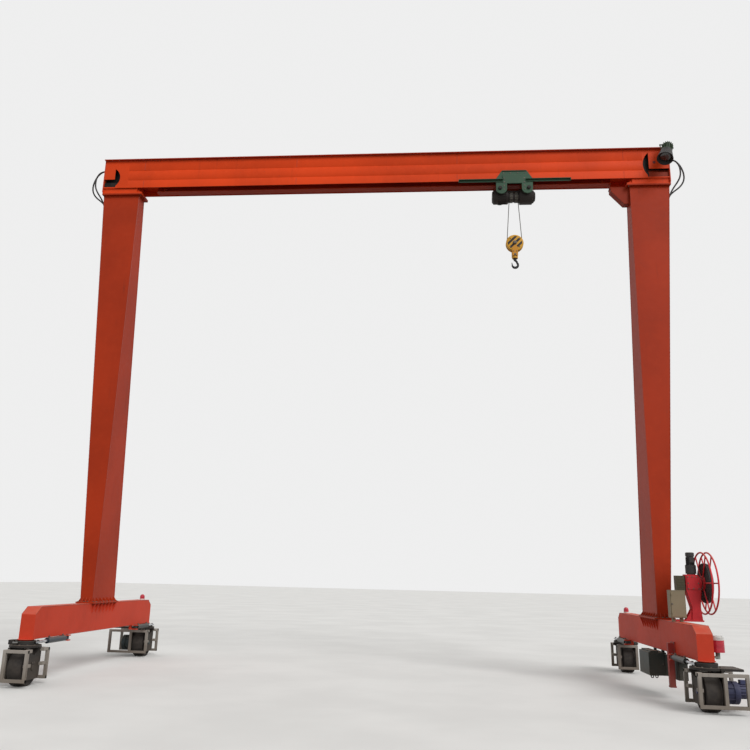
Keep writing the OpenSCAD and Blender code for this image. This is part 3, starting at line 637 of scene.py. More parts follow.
def end_web(s, from_end, h):
    """Web sheet at one girder end. Its slot has one curved side, x = c - sqrt(r^2 - (z - middle)^2), and a
    gap runs from the slot to the end under the web's tab."""
    bow, lip, tab = 0.11, 0.0275, 0.19    # depth of the curve, where it stops short of x, height of the gap's top
    x = GIRDER_END - from_end
    r = (h * h / 4 + bow ** 2) / (2 * bow)
    middle = WEB_LOW + 0.03 + h / 2
    z = np.linspace(middle - h / 2, middle + h / 2, 33)
    curve = x + r - bow - np.sqrt(np.maximum(0, r * r - (z - middle) ** 2))
    kept = (z > middle) | (curve < x - lip)
    outline = [(5.05, WEB_LOW), (5.544, WEB_LOW), (5.544, WEB_LOW + 0.02), (x - lip, WEB_LOW + 0.02),
               *zip(curve[kept], z[kept]), (x, WEB_LOW + tab), (5.544, WEB_LOW + tab), (5.544, WEB_TOP),
               (5.05, WEB_TOP)]
    sheet = plate(outline, 0.188, 0.2, 1, 0.001)
    return [part for q in (-1, 1) for part in mirrored([sheet], s, q)]


def girder():
    """Box girder: a section with two pressed creases in each web is carried along it, and each end has
    open webs, an end plate, and the bolted seat over its leg."""
    half = [(0.006, WEB_LOW + 0.13), (0.188, WEB_LOW + 0.13), (0.188, WEB_LOW), (0.2, WEB_LOW)]
    for crease in (9.246, 9.456):
        half += [(0.2, crease - 0.012), (0.194, crease), (0.2, crease + 0.012)]
    half.append((0.2, WEB_TOP))
    parts = [plate(half + [(-y, z) for y, z in half[::-1]], -5.05, 5.05, 0, 0.001)]
    for s, from_end, h in ((-1, 0.23, 0.39), (1, 0.39, 0.50)):
        parts += end_web(s, from_end, h)
        # Painted shade: the first block fills the girder's end behind the web openings and the girder's paint makes
        # it near-black, standing for the shade inside; the top of the seat block under it is painted the same way
        seat = [block((4.98, -0.12, 9.21), (5.545, 0.12, 9.683)), block((4.85, -0.17, SEAT), (5.545, 0.17, 9.214)),
                block((5.544, -0.2, SEAT + 0.025), (GIRDER_END, 0.2, WEB_TOP)),
                block((4.75, -0.18, SEAT), (GIRDER_END, 0.18, SEAT + 0.025)),
                bar((5.555, 0.045, 9.6), (5.584, 0.045, 9.6), 0.024),
                bar((5.555, -0.045, 9.54), (5.584, -0.045, 9.54), 0.024)]
        for q in (-1, 1):
            seat.append(plate([(4.76, SEAT + 0.024), (4.851, SEAT + 0.024), (4.851, SEAT + 0.10)],
                              q * 0.14 - 0.006, q * 0.14 + 0.006, 1))
        parts += mirrored(seat, s)
    stand_for("girder_box", "girder_body", parts, "frame", girder_lit_paint)


def runway():
    """Rolled beam under the box: its section with filleted web is carried along, with a stop and two
    buffers at each end."""
    half = [(0.075, 9.044), (0.075, 9.058), (0.020, 9.064), (0.011, 9.068), (0.006, 9.078), (0.006, 9.214)]
    parts = [plate(half + [(-y, z) for y, z in half[::-1]], -4.48, 4.48, 0, 0.001)]
    for s in (-1, 1):
        for q in (-1, 1):
            parts += mirrored([block((4.31, 0.004, 9.057), (4.33, 0.075, 9.154)),
                               bar((4.272, 0.041, 9.114), (4.311, 0.041, 9.114), 0.024)], s, q)
    stand_for("runway_beam", "runway", parts, "frame", red_paint)
    outline = [(4.46, LEG_TOP), (4.8097, LEG_TOP), (4.8047, 8.609), (4.70, 8.609), (4.46, 8.884)]
    knee = [plate(outline, -0.08, 0.08, 1, 0.003), block((4.45, -0.075, 8.948), (4.749, 0.075, 8.969)),
            block((4.455, -0.04, 8.968), (4.475, 0.04, 9.044))]
    stand_for("knee_bracket", "knee", knee, "frame", knee_shade_paint)


def trolley_sides():
    """Side plates with an arched middle and two rounded lobes round the cross shafts, a folded top edge,
    carriers and wheels inside the skirts, and the travel gear on the far side."""
    low, top = WEB_LOW - 0.086, WEB_LOW + 0.188
    arch = [(-0.35, low), (0.35, low), (0.35, WEB_LOW + 0.016), (0.238, top), (-0.238, top), (-0.35, WEB_LOW + 0.016)]
    lobe = [(0.14, low + 0.003), *arc(0.244, 8.892, 0.104, 180, 360, 21), (0.348, low + 0.003)]
    side = [plate(arch, 0.218, 0.234, 1), block((-0.22, 0.2335, low), (0.22, 0.2505, low + 0.186)),
            block((-0.232, 0.226, top - 0.012), (0.232, 0.25, top))]
    for s in (-1, 1):
        inner = [plate(lobe, 0.218, 0.250, 1),
                 plate([*arc(0.271, SHAFT_Z, 0.048, 180, 360), *arc(0.271, 9.1245, 0.047, 0, 180)], 0.150, 0.166, 1),
                 bar((0.271, 0.165, SHAFT_Z), (0.271, 0.219, SHAFT_Z), 0.038),
                 turned([(0, 0.022), (0.06, 0.022), (0.06, 0.081), (0.067, 0.082), (0.067, 0.093), (0.027, 0.094),
                         (0.027, 0.15), (0.02, 0.165), (0, 0.176)], (0.271, 0, 9.1245), (0, 1, 0), 40)]
        side += mirrored(inner, s)
    place = (TROLLEY_X, 0, 0)
    stand_for("trolley_front", "trolley_side_front", mirrored(side, 1, -1, place), "trolley", green_paint)
    z = WEB_LOW + 0.01
    gear = [bar((0, 0.25, z), (0, 0.32, z), 0.075), *motor((0, 0.319, z), (0, 1, 0), 0.13, 0.19)]
    stand_for("trolley_back", "trolley_side_back", mirrored(side + gear, 1, 1, place), "trolley", green_paint)
    y, z = -0.234, WEB_LOW - 0.004
    angle = [(y, z), (y, z - 0.048), (y - 0.008, z - 0.048), (y - 0.008, z - 0.008), (y - 0.048, z - 0.008),
             (y - 0.048, z)]
    bars = [plate(angle, 0.21, 1.06, 0, 0.0008), block((1.055, y - 0.048, z - 0.048), (1.065, y, z))]
    piece("limit_bar", mirrored(bars, 1, 1, place) + mirrored(bars, -1, 1, place), "trolley",
          green_paint)


def hoist():
    """Ribbed motor housing on the left, gear housing with its cover on the right, flanged drum between
    them, two tie bars, and the cross shafts with their nuts."""
    z = DRUM_Z
    left = [(0, -0.41), (0.103, -0.41), (0.138, -0.38), (0.138, -0.30), (0.126, -0.30), (0.126, -0.15),
            (0.138, -0.15), (0.138, -0.112), (0.12, -0.11), (0.12, -0.10), (0.1, -0.10), (0.1, 0.10), (0.12, 0.10),
            (0.12, 0.112), (0.146, 0.112), (0.150, 0.118), (0.150, 0.345), (0.146, 0.350), (0.123, 0.350),
            (0.123, 0.379), (0.108, 0.381), (0.083, 0.41), (0, 0.41)]
    parts = [turned(left, (0, 0, z), RIGHT, 56), fins(20, 0.126, 0.012, -0.30, -0.15, 0.006, (0, 0, z), RIGHT)]
    parts += [bar((-0.12, y, z + 0.08), (0.12, y, z + 0.08), 0.013) for y in (-0.09, 0.09)]
    for s in (-1, 1):
        x = s * 0.271
        parts.append(bar((x, -0.281, SHAFT_Z), (x, 0.281, SHAFT_Z), 0.025))
        for q in (-1, 1):
            parts += [bar((x, q * 0.251, SHAFT_Z), (x, q * 0.271, SHAFT_Z), 0.040, 0.002, 6),
                      bar((x, q * 0.118, SHAFT_Z), (x, q * 0.150, SHAFT_Z), 0.038)]
            parts.append(block((x - 0.03, q * 0.05 - 0.02, z), (x + 0.03, q * 0.05 + 0.02, SHAFT_Z)))
    stand_for("hoist_body", "hoist_housing", mirrored(parts, 1, 1, (TROLLEY_X, 0, 0)), "trolley", hoist_paint)


def block_and_hook():
    """Hook block: one profile of rounded cheeks and a grooved sheave goes round the sheave's pin, over a round
    neck. The hook is a round bar that swells and thins along one curve from its shank to its point."""
    t = np.radians(np.linspace(0, 90, 7))
    half = [(0, 0.070), (0.042, 0.070), (0.042, 0.060), *zip(0.149 + 0.016 * np.sin(t), 0.044 + 0.016 * np.cos(t)),
            (0.165, 0.020), (0.150, 0.018), (0.139, 0.013), (0.134, 0.007), (0.133, 0)]
    whole = half + [(r, -h) for r, h in half[-2::-1]]
    parts = [turned(whole, (TROLLEY_X, 0, HOOK_Z), (0, 1, 0), 72)]
    neck = HOOK_Z - 0.305
    parts += [turned([(0, 0), (0.053, 0), (0.055, 0.003), (0.055, 0.069), (0.053, 0.072), (0.046, 0.073),
                      (0.046, 0.16), (0, 0.16)], (TROLLEY_X, 0, neck), UP, 48),
              bar((TROLLEY_X, -0.06, neck + 0.066), (TROLLEY_X, 0.06, neck + 0.066), 0.025)]
    parts += [bar((TROLLEY_X + x, -0.064, HOOK_Z + 0.098), (TROLLEY_X + x, 0.064, HOOK_Z + 0.098), 0.006, 0.001, 16)
              for x in (-0.117, 0.117)]
    stand_for("hook_block", "pulley_block", parts, "block", block_paint, 30)
    eye = -0.130
    route = [(-0.060, eye + 0.050), (-0.0575, eye + 0.03), *arc(0, eye, 0.054, 180, 400, 23), (0.030, eye + 0.066),
             (0.010, eye + 0.088), (0, eye + 0.110), (0, 0.0)]
    path = smooth_route([(TROLLEY_X + x, 0, neck + z) for x, z in route], 3)
    t = np.linspace(0, 1, len(path))
    thick = np.interp(t, [0, 0.05, 0.12, 0.3, 0.5, 0.72, 0.86, 1],
                      [0.004, 0.010, 0.015, 0.0225, 0.024, 0.020, 0.020, 0.020])
    shank = turned([(0, -0.046), (0.023, -0.046), (0.032, -0.016), (0.032, -0.002), (0.02, -0.001), (0.02, 0.05),
                    (0, 0.05)],
                   (TROLLEY_X, 0, neck), UP, 40)
    stand_for("hook", "forged_load_hook", [carried(path, thick, 20), shank], "load_hook", forged, 40)


AXLE = np.array([5.33, -0.93, 1.665])


def cabinet(x0, x1, y0, y1, z0, z1, handle=True):
    """Sheet-metal cabinet: case, door leaf, folded roof rim, hinges and handle."""
    middle = (z0 + z1) / 2
    parts = [block((x0, y0 + 0.008, z0), (x1, y1, z1)),
             block((x0 + 0.014, y0, z0 + 0.014), (x1 - 0.014, y0 + 0.009, z1 - 0.014)),
             block((x0 - 0.003, y0 + 0.002, z1 - 0.008), (x1 + 0.003, y1 + 0.003, z1 + 0.001))]
    parts += [bar((x0 + 0.022, y0 - 0.001, z), (x0 + 0.022, y0 - 0.001, z + 0.03), 0.007, 0.001, 20)
              for z in (z0 + 0.05, z1 - 0.08)]
    if handle:
        parts.append(block((x1 - 0.04, y0 - 0.01, middle - 0.035), (x1 - 0.026, y0 + 0.001, middle + 0.035)))
    return parts


def boxes():
    """Cabinets under and on the right carriage, the slip-ring box, and two short stiff leads between glands."""
    large = cabinet(4.47, 4.74, -0.65, -0.06, 0.26, 0.60)
    large += [block((4.69, y, 0.599), (4.73, y + 0.04, 0.64)) for y in (-0.60, -0.15)]
    large.append(block((4.50, -0.644, 0.599), (4.62, -0.09, 0.624)))
    stand_for("control_cabinet", "large_cabinet", large, "frame", dark_green_paint)
    near = cabinet(4.71, 4.85, -1.34, -0.66, 0.27, 0.58)
    near += [block((4.75, y, 0.579), (4.83, y + 0.04, 0.64)) for y in (-1.30, -0.76)]
    stand_for("cabinet_near", "near_cabinet", near, "frame", dark_green_paint)
    switch = cabinet(4.673, 4.903, -1.30, -1.16, 1.15, 1.55, False)
    switch += [block((x, -1.24, 1.09), (x + 0.04, -1.19, 1.151)) for x in (4.708, 4.828)]
    stand_for("switch_box", "switch_cabinet", switch, "frame", grey_paint)
    slip = [block((4.87, -1.0, 1.54), (5.0, -0.88, 1.77)), block((4.904, -0.95, 1.114), (4.936, -0.91, 1.541))]
    slip += [block((4.89, -1.003, z), (4.98, -0.999, z + 0.014), 0.001) for z in (1.59, 1.63, 1.67, 1.71)]
    stand_for("slip_ring_box", "slip_box", slip, "frame", olive_paint)
    leads = []
    for x in (4.515, 4.583):
        route = [(x, 0.262), *arc(x + 0.017, 0.236, 0.017, 180, 360), (x + 0.034, 0.262)]
        leads.append(carried([(a, -0.55, z) for a, z in route], 0.007, 12))
    piece("cabinet_leads", leads, "frame", sheath)


def reel_group():
    """Reel with two round-bar rims, six spokes each and a hub, its tapering gear case on a foot plate, the
    gear case's motor, all on one axle."""
    x, y, z = AXLE
    parts = []
    for d in (-0.045, 0.045):
        parts.append(ring_bar(0.462, 0.026, (x + d, y, z), RIGHT))
        for k in range(6):
            a = np.radians(60 * k)
            out = np.array([0, np.cos(a), np.sin(a)])
            parts.append(bar(AXLE + (d, 0, 0) + out * 0.096, AXLE + (d, 0, 0) + out * 0.455, 0.0104, 0.001, 16))
    parts.append(turned([(0.031, -0.057), (0.108, -0.057), (0.11, -0.055), (0.11, 0.055), (0.108, 0.057),
                         (0.031, 0.057), (0.031, -0.057)], AXLE, RIGHT, 48))
    stand_for("reel", "cable_reel", parts, "reel_drum", crimson_paint)
    case = [(5.07, 1.11), (5.23, 1.11), (5.213, 1.294), (5.23, 1.57), (5.23, 1.74), (5.20, 1.79), (5.015, 1.79),
            (5.015, 1.55), (5.083, 1.294)]
    cover = [(5.033, 1.565), (5.212, 1.565), (5.212, 1.72), (5.19, 1.765), (5.033, 1.765)]
    stand = [block((4.83, -1.02, 1.09), (5.24, -0.78, 1.114)), plate(case, -1.005, -0.855, 1, 0.003),
             plate(cover, -1.018, -1.002, 1), bar((5.229, y, z), (5.252, y, z), 0.095),
             bar((5.22, y, z), (5.425, y, z), 0.030)]
    for rib_y in (-0.98, -0.88):
        stand.append(plate([(4.985, 1.113), (5.085, 1.113), (5.079, 1.274)], rib_y - 0.006, rib_y + 0.006, 1))
    stand_for("reel_stand", "reel_gear_case", stand, "frame", crimson_paint)
    at = np.array([5.125, y, 1.79])
    unit_parts = [turned([(0, 0), (0.062, 0), (0.062, 0.011), (0.078, 0.012), (0.080, 0.015), (0.080, 0.141),
                          (0, 0.143)], at, UP, 40),
                  *motor(at + (0, 0, 0.142), UP, 0.13, 0.196),
                  block(at + (-0.03, -0.092, 0.182), at + (0.03, -0.05, 0.262))]
    stand_for("reel_motor", "reel_gear_motor", unit_parts, "frame", motor_paint)


def foot():
    """Safety foot: square post with a sole, on a bolted plate beside the carriage beam."""
    x, y = 4.639, -1.246
    parts = [block((x - 0.04, y - 0.04, 0.188), (x + 0.04, y + 0.04, 0.79), 0.004),
             block((x - 0.045, y - 0.045, 0.165), (x + 0.045, y + 0.045, 0.189)),
             block((x + 0.039, y - 0.09, 0.65), (x + 0.0505, y + 0.09, 0.81))]
    stand_for("safety_foot", "safety_foot_post", parts, "frame", foot_paint)


BEAM = np.array([-0.2748, -0.3420, -0.8986])
PIVOT = np.array([5.475, -0.386, 9.59])


def flood_lamp():
    """Floodlight: one profile of driver, body, collar and hood with a rolled rim goes round the beam, with
    cooling fins, in a fork on a bracket at the top plate's edge."""
    t = np.radians(np.linspace(-60, 220, 9))
    rim = list(zip(0.143 + 0.006 * np.cos(t), 0.310 + 0.006 * np.sin(t)))
    profile = [(0, -0.13), (0.055, -0.13), (0.0575, -0.127), (0.0575, -0.09), (0.0725, -0.089), (0.0725, 0.088),
               (0.1044, 0.089), (0.1044, 0.102), *rim, (0.110, 0.256), (0, 0.256)]
    lamp = [turned(profile, PIVOT, BEAM, 56), fins(16, 0.0725, 0.03, -0.09, 0.088, 0.006, PIVOT, BEAM)]
    x = PIVOT[0]
    lamp += [block((x - 0.03, -0.31, 9.70), (x + 0.03, -0.16, 9.71)),
             block((x - 0.118, -0.334, 9.694), (x + 0.118, -0.306, 9.71))]
    lamp += [plate([(-0.334, 9.71), (-0.306, 9.71), (-0.372, 9.58), (-0.400, 9.58)], x + d - 0.005, x + d + 0.005, 0)
             for d in (-0.113, 0.113)]
    lamp.append(bar((x - 0.118, PIVOT[1], PIVOT[2]), (x + 0.118, PIVOT[1], PIVOT[2]), 0.011))
    stand_for("floodlight", "flood_lamp", lamp, "frame", lamp_paint)


OUT = {"rn": 0.433, "lf": 0.570}


def wheel_unit(tag, s, q):
    """Slewing plate with a bearing ring, fork cheeks with rounded lower corners, gussets; bumper frames of square
    tube; solid tyre with rounded shoulders on a dished disc. All are drawn once and mirrored to their corner."""
    place = (s * AXIS_X, q * AXIS_Y, 0)
    out = OUT.get(tag, 0)
    fork = [turned([(0.0455, 0.531), (0.217, 0.531), (0.22, 0.534), (0.22, 0.562), (0.217, 0.565), (0.13, 0.565),
                    (0.13, 0.562), (0.0455, 0.562), (0.0455, 0.531)], ORIGIN, UP, 64),
            turned([(0.128, 0.561), (0.148, 0.561), (0.148, 0.614), (0.144, 0.619), (0.128, 0.619), (0.128, 0.561)],
                   ORIGIN, UP, 56),
            bar((-0.18, 0, 0.564), (-0.18, 0, 0.628), 0.012), bar((-0.18, 0, 0.564), (-0.18, 0, 0.576), 0.032)]
    gusset = [(0.145, 0.532), (0.236, 0.532), (0.236, 0.515), (0.145, 0.421)]
    cheek = [*arc(-0.15, 0.15, 0.06, 180, 270, 7), *arc(0.15, 0.15, 0.06, 270, 360, 7), (0.21, 0.532), (-0.21, 0.532)]
    for d in (-1, 1):
        fork += mirrored([plate(cheek, 0.126, 0.146, 0), plate(gusset, -0.008, 0.008, 1)], d)
    if out:
        fork.append(block((0.12, -0.2, 0.532), (out - 0.02, 0.2, 0.564)))
    else:
        fork.append(bar((-0.158, 0, WHEEL_Z), (0.158, 0, WHEEL_Z), 0.030))
        fork += [bar((d * 0.1462, 0, WHEEL_Z), (d * 0.156, 0, WHEEL_Z), 0.042) for d in (-1, 1)]
    stand_for(f"wheel_head_{tag}", f"fork_{tag}", mirrored(fork, s, q, place), f"head_{tag}", black_paint)
    tube, x_end, frame_parts = 0.044, max(0.15, out), []
    posts = (-0.22, 0.106, *([out - tube] if out else []))
    for p in (-1, 1):
        side = [block((x, 0.276, 0.075), (x + tube, 0.32, 0.512)) for x in posts]
        side += [block((-0.22, 0.2765, z), (x_end, 0.3195, z + tube)) for z in (0.0755, 0.4675)]
        side += [block((-0.206, 0.17, z), (-0.146, 0.277, z + tube)) for z in (0.2715, 0.468)]
        side.append(block((0.118, 0.2, 0.468), (0.15, 0.277, 0.512)))
        frame_parts += mirrored(side, 1, p)
    stand_for(f"bumper_{tag}", f"bumper_frame_{tag}", mirrored(frame_parts, s, q, place), f"head_{tag}", pale_paint)
    t = np.radians(np.linspace(0, 90, 7))
    half = [(0, 0.118), (0.072, 0.118), (0.080, 0.110), (0.080, 0.076), (0.115, 0.066), (0.119, 0.106),
            (0.125, 0.107), (0.125, 0.110), (0.193, 0.110), (0.197, 0.105), (0.2015, 0.104), (0.206, 0.105),
            (0.210, 0.110), *zip(0.228 + 0.022 * np.sin(t), 0.088 + 0.022 * np.cos(t)), (0.250, 0.0)]
    tread = turned(half + [(r, -h) for r, h in half[-2::-1]], (0, 0, WHEEL_Z), RIGHT, 72)
    stand_for(f"wheel_{tag}", f"tyre_{tag}", mirrored([tread], s, q, place), f"tyred_wheel_{tag}", tyre)


def drives():
    """Gear case on the outer cheek with cooling ribs, its axle, and the motor beside it or behind it."""
    case = [turned([(0, 0.146), (0.132, 0.146), (0.132, 0.176), (0.143, 0.176), (0.145, 0.178), (0.145, 0.202),
                    (0.132, 0.203), (0.132, 0.300), (0.145, 0.301), (0.145, 0.367), (0.142, 0.370), (0, 0.370)],
                    (0, 0, WHEEL_Z), RIGHT, 56),
            fins(12, 0.132, 0.013, 0.202, 0.301, 0.008, (0, 0, WHEEL_Z), RIGHT),
            bar((-0.158, 0, WHEEL_Z), (0.147, 0, WHEEL_Z), 0.030)]
    beside = motor((0.369, 0, 0.275), RIGHT, 0.20, 0.184)
    beside.append(block((0.409, -0.045, 0.361), (0.499, 0.045, 0.415), 0.004))
    behind = motor((0.263, 0.110, 0.304), (0, 1, 0), 0.16, 0.145)
    stand_for("drive_rn", "drive_near", mirrored(case + beside, 1, -1, (AXIS_X, -AXIS_Y, 0)), "head_rn", blue_paint)
    stand_for("drive_lf", "drive_far", mirrored(case + behind, -1, 1, (-AXIS_X, AXIS_Y, 0)), "head_lf", shaded_blue_paint)


girder()
runway()
trolley_sides()
hoist()
block_and_hook()
boxes()
reel_group()
foot()
flood_lamp()
for tag, (s, q) in UNITS.items():
    wheel_unit(tag, s, q)
drives()


# ---------------------------------------------------------------- bolts, nuts and welds

def cap(radius, low, narrow, high, place, axis, sides=20):
    """Cap that rises straight to the low height and draws in to the narrow radius at its top."""
    return turned([(0, 0), (radius, 0), (radius, low), (narrow, high), (0, high)], place, axis, sides)


def bolts_on(name, body, groups):
    """All the bolts of one body in one mesh; each group is a size, the axis the heads face, and their places."""
    piece(name, [many(bolt(size, axis), places) for size, axis, places in groups], body, bolt_steel)


BETWEEN_RIBS = -0.436 + 0.14533 * (np.arange(6) + 0.5)


def leg_bolts(side_name, s):
    """Bolts of a leg's foot flange between the ribs, with nuts underneath, and of the girder's seat."""
    foot = [(s * AXIS_X + dx, y, FOOT_TOP) for dx in (-0.135, 0.135) for y in (*BETWEEN_RIBS, -0.486, 0.486)]
    ends = [(s * AXIS_X + dx, y, FOOT_TOP) for dx in (-0.03, 0.03) for y in (-0.486, 0.486)]
    seat = [(s * 4.785, y, 8.999) for y in (-0.14, -0.047, 0.047, 0.14)]
    bolts_on(f"leg_bolts_{side_name}", "frame",
             [(0.014, UP, foot + ends), (0.013, DOWN, [(x, y, 1.09) for x, y, _ in foot]), (0.012, UP, seat),
              (0.012, DOWN, [(s * 4.785, y, LEG_TOP) for y in (-0.14, 0.14)])])


def leg_welds(side_name, s):
    """Corner seams of a leg, the seam round its foot, and those along its carriage beam."""
    seams = []
    for y0, y1 in ((-0.456, -0.125), (0.456, 0.125)):
        for x0, x1 in ((4.695, 4.810), (4.905, 5.540)):
            seams.append(weld((s * x0, y0, FOOT_TOP), (s * x1, y1, LEG_TOP), 0.0055))
    for y in (-0.456, 0.456):
        seams.append(weld((s * 4.695, y, FOOT_TOP), (s * 4.905, y, FOOT_TOP), 0.006, 0.012))
    for x in (4.695, 4.905):
        seams.append(weld((s * x, -0.456, FOOT_TOP), (s * x, 0.456, FOOT_TOP), 0.006, 0.012))
    for x in (4.69, 4.91):
        seams.append(weld((s * x, -2.345, 0.641), (s * x, 2.345, 0.641), 0.004))
        seams.append(weld((s * x, -2.20, BEAM_TOP), (s * x, 2.20, BEAM_TOP), 0.004))
        for q in (-1, 1):
            seams.append(weld((s * x, q * 2.20, BEAM_TOP), (s * x, q * 2.345, 0.986), 0.004, 0.02))
    piece(f"leg_welds_{side_name}", seams, "frame", weld_metal)


def girder_welds():
    """Seams between the webs and the top plate, round the end plates, and where two web sheets meet."""
    seams = []
    for y in (-0.2, 0.2):
        seams.append(weld((-5.54, y, 9.682), (5.54, y, 9.682), 0.005))
        for x in (-5.545, 5.545):
            seams.append(weld((x, y, 9.01), (x, y, 9.68), 0.004, 0.02))
    for x in (-4.72, -1.62, 1.54, 4.70):
        for y in (-1, 1):
            seams.append(weld((x, y * 0.199, 9.09), (x, y * 0.199, 9.23), 0.0035, 0.012))
            seams.append(weld((x, y * 0.199, 9.47), (x, y * 0.199, 9.68), 0.0035, 0.012))
    piece("girder_welds", seams, "frame", weld_metal)


def wheel_unit_bolts(tag, s, q):
    """Bolts round the slewing plate, axle keepers with their bolts on the idle forks, and the wheel's nuts."""
    x0, y0 = s * AXIS_X, q * AXIS_Y
    groups = [(0.012, UP, ring_of(10, 0.176, (x0, y0, 0.565), UP, np.radians(18)))]
    keepers = []
    if tag in ("ln", "rf"):
        for d in (-1, 1):
            face = d * 0.146
            keepers.append(block((x0 + face, y0 - 0.045, 0.300), (x0 + face + d * 0.008, y0 + 0.045, 0.330)))
            groups.append((0.009, (d, 0, 0), [(x0 + face + d * 0.008, y0 + dy, 0.315) for dy in (-0.03, 0.03)]))
    bolts_on(f"fork_bolts_{tag}", f"head_{tag}", groups)
    if keepers:
        piece(f"axle_keepers_{tag}", keepers, f"head_{tag}", black_paint)
    pin_cap = cap(0.017, 0.004, 0.013, 0.007, (s * (AXIS_X - 0.18), y0, 0.627), UP)
    piece(f"rod_pin_cap_{tag}", [pin_cap], f"head_{tag}", bolt_steel)
    bolts_on(f"wheel_nuts_{tag}", f"tyred_wheel_{tag}",
             [(0.010, (d, 0, 0), ring_of(8, 0.098, (x0 + d * 0.0705, y0, WHEEL_Z), (d, 0, 0))) for d in (-1, 1)])


def drive_bolts():
    """Flange and cover bolts of the two wheel drives, with the cap over the near one's axle."""
    groups = [(0.0065, RIGHT, ring_of(12, 0.138, (5.002, -AXIS_Y, WHEEL_Z), RIGHT, np.radians(15))),
              (0.009, RIGHT, ring_of(8, 0.118, (5.170, -AXIS_Y, WHEEL_Z), RIGHT, np.radians(22.5)))]
    bolts_on("gear_bolts_rn", "head_rn", groups)
    axle_cap = turned([(0, 0), (0.066, 0), (0.066, 0.004), (0.058, 0.009), (0.03, 0.012), (0, 0.0125)],
                      (5.170, -AXIS_Y, WHEEL_Z), RIGHT, 40)
    piece("gear_cap_rn", [axle_cap], "head_rn", blue_paint)
    a = np.radians(np.linspace(-160, -20, 6))
    low = np.stack([0 * a - 5.170, AXIS_Y + 0.128 * np.cos(a), WHEEL_Z + 0.128 * np.sin(a)], -1)
    bolts_on("gear_bolts_lf", "head_lf",
             [(0.0065, (-1, 0, 0), ring_of(12, 0.138, (-5.002, AXIS_Y, WHEEL_Z), (-1, 0, 0), np.radians(15))),
              (0.009, (-1, 0, 0), low)])


def steering_fittings(tag, s, q):
    """Hexagon unions on the cylinder's two ports and the pin head in its bracket."""
    x = s * 4.62
    ports = [(x, q * y, 0.647) for y in (2.0, 1.562)]
    unions = many(turned([(0, -0.004), (0.017, -0.004), (0.017, 0.012), (0.013, 0.016), (0.010, 0.016),
                          (0.010, 0.026), (0, 0.026)], ORIGIN, UP, 6), ports)
    pin = cap(0.018, 0.005, 0.014, 0.008, (x, q * 1.42, 0.648), UP)
    piece(f"cylinder_fittings_{tag}", [unions, pin], "frame", bolt_steel)


def trolley_bolts():
    """Bolts that hold the arch plates, the folded edge and the carriers to the trolley's sides."""
    for side_name, q in (("front", -1), ("back", 1)):
        arch = [(TROLLEY_X + dx, q * 0.2505, z) for dx in (-0.19, 0.19) for z in (9.02, 9.10)]
        edge = [(TROLLEY_X + dx, q * 0.234, 9.222) for dx in (-0.20, -0.07, 0.07, 0.20)]
        lobes = [(TROLLEY_X + dx, q * 0.250, z) for dx in (-0.195, 0.195) for z in (8.87, 8.95)]
        bolts_on(f"trolley_bolts_{side_name}", "trolley",
                 [(0.011, (0, q, 0), arch if q < 0 else arch[::2]), (0.009, (0, q, 0), edge + lobes)])


def hoist_details():
    """Cover bolts of the hoist's gear housing, and the rope wound on the drum:
    a helix round the drum's axis, point = (x + pitch a / 2 pi, R sin a, -R cos a), run to either side."""
    z = DRUM_Z
    bolts_on("hoist_bolts", "trolley",
             [(0.009, RIGHT, ring_of(4, 0.1395, (TROLLEY_X + 0.35, 0, z), RIGHT, np.radians(45))),
              (0.0065, RIGHT, ring_of(8, 0.1295, (TROLLEY_X + 0.35, 0, z), RIGHT, np.radians(22.5)))])
    pitch, radius, times = 0.0155, 0.1065, 4.5
    a = np.linspace(0, 2 * np.pi * times, 200)
    turns = []
    for s in (-1, 1):
        path = np.stack([TROLLEY_X + s * (0.086 - pitch * a / (2 * np.pi)), radius * np.sin(a),
                         z - radius * np.cos(a)], -1)
        turns.append(carried(path, 0.007, 8, RIGHT))
    piece("drum_rope", turns, "trolley", rope, crease=60)


def hook_block_details():
    """Straps over the cheeks with rounded tops, cheek bolts, the sheave pin's and the trunnion's nuts."""
    a = np.radians(np.linspace(0, 180, 15))
    strap = [(-0.054, -0.262), (0.054, -0.262)] + [(0.054 * np.cos(t), -0.115 + 0.054 * np.sin(t)) for t in a]
    strap = np.array(strap) + (TROLLEY_X, HOOK_Z)
    piece("block_straps", [plate(strap, q * 0.0605 - 0.0075, q * 0.0605 + 0.0075, 1) for q in (-1, 1)],
          "block", strap_paint)
    for d, word in ((-1, "front"), (1, "back")):
        axis = (0, d, 0)
        bolts_on(f"block_bolts_{word}", "block",
                 [(0.010, axis, ring_of(4, 0.122, (TROLLEY_X, d * 0.060, HOOK_Z), axis, np.radians(45))),
                  (0.030, axis, [(TROLLEY_X, d * 0.070, HOOK_Z)]),
                  (0.009, axis, [(TROLLEY_X + dx, d * 0.068, HOOK_Z - 0.175) for dx in (-0.03, 0.03)]),
                  (0.017, axis, [(TROLLEY_X, d * 0.068, HOOK_Z - 0.239)])])


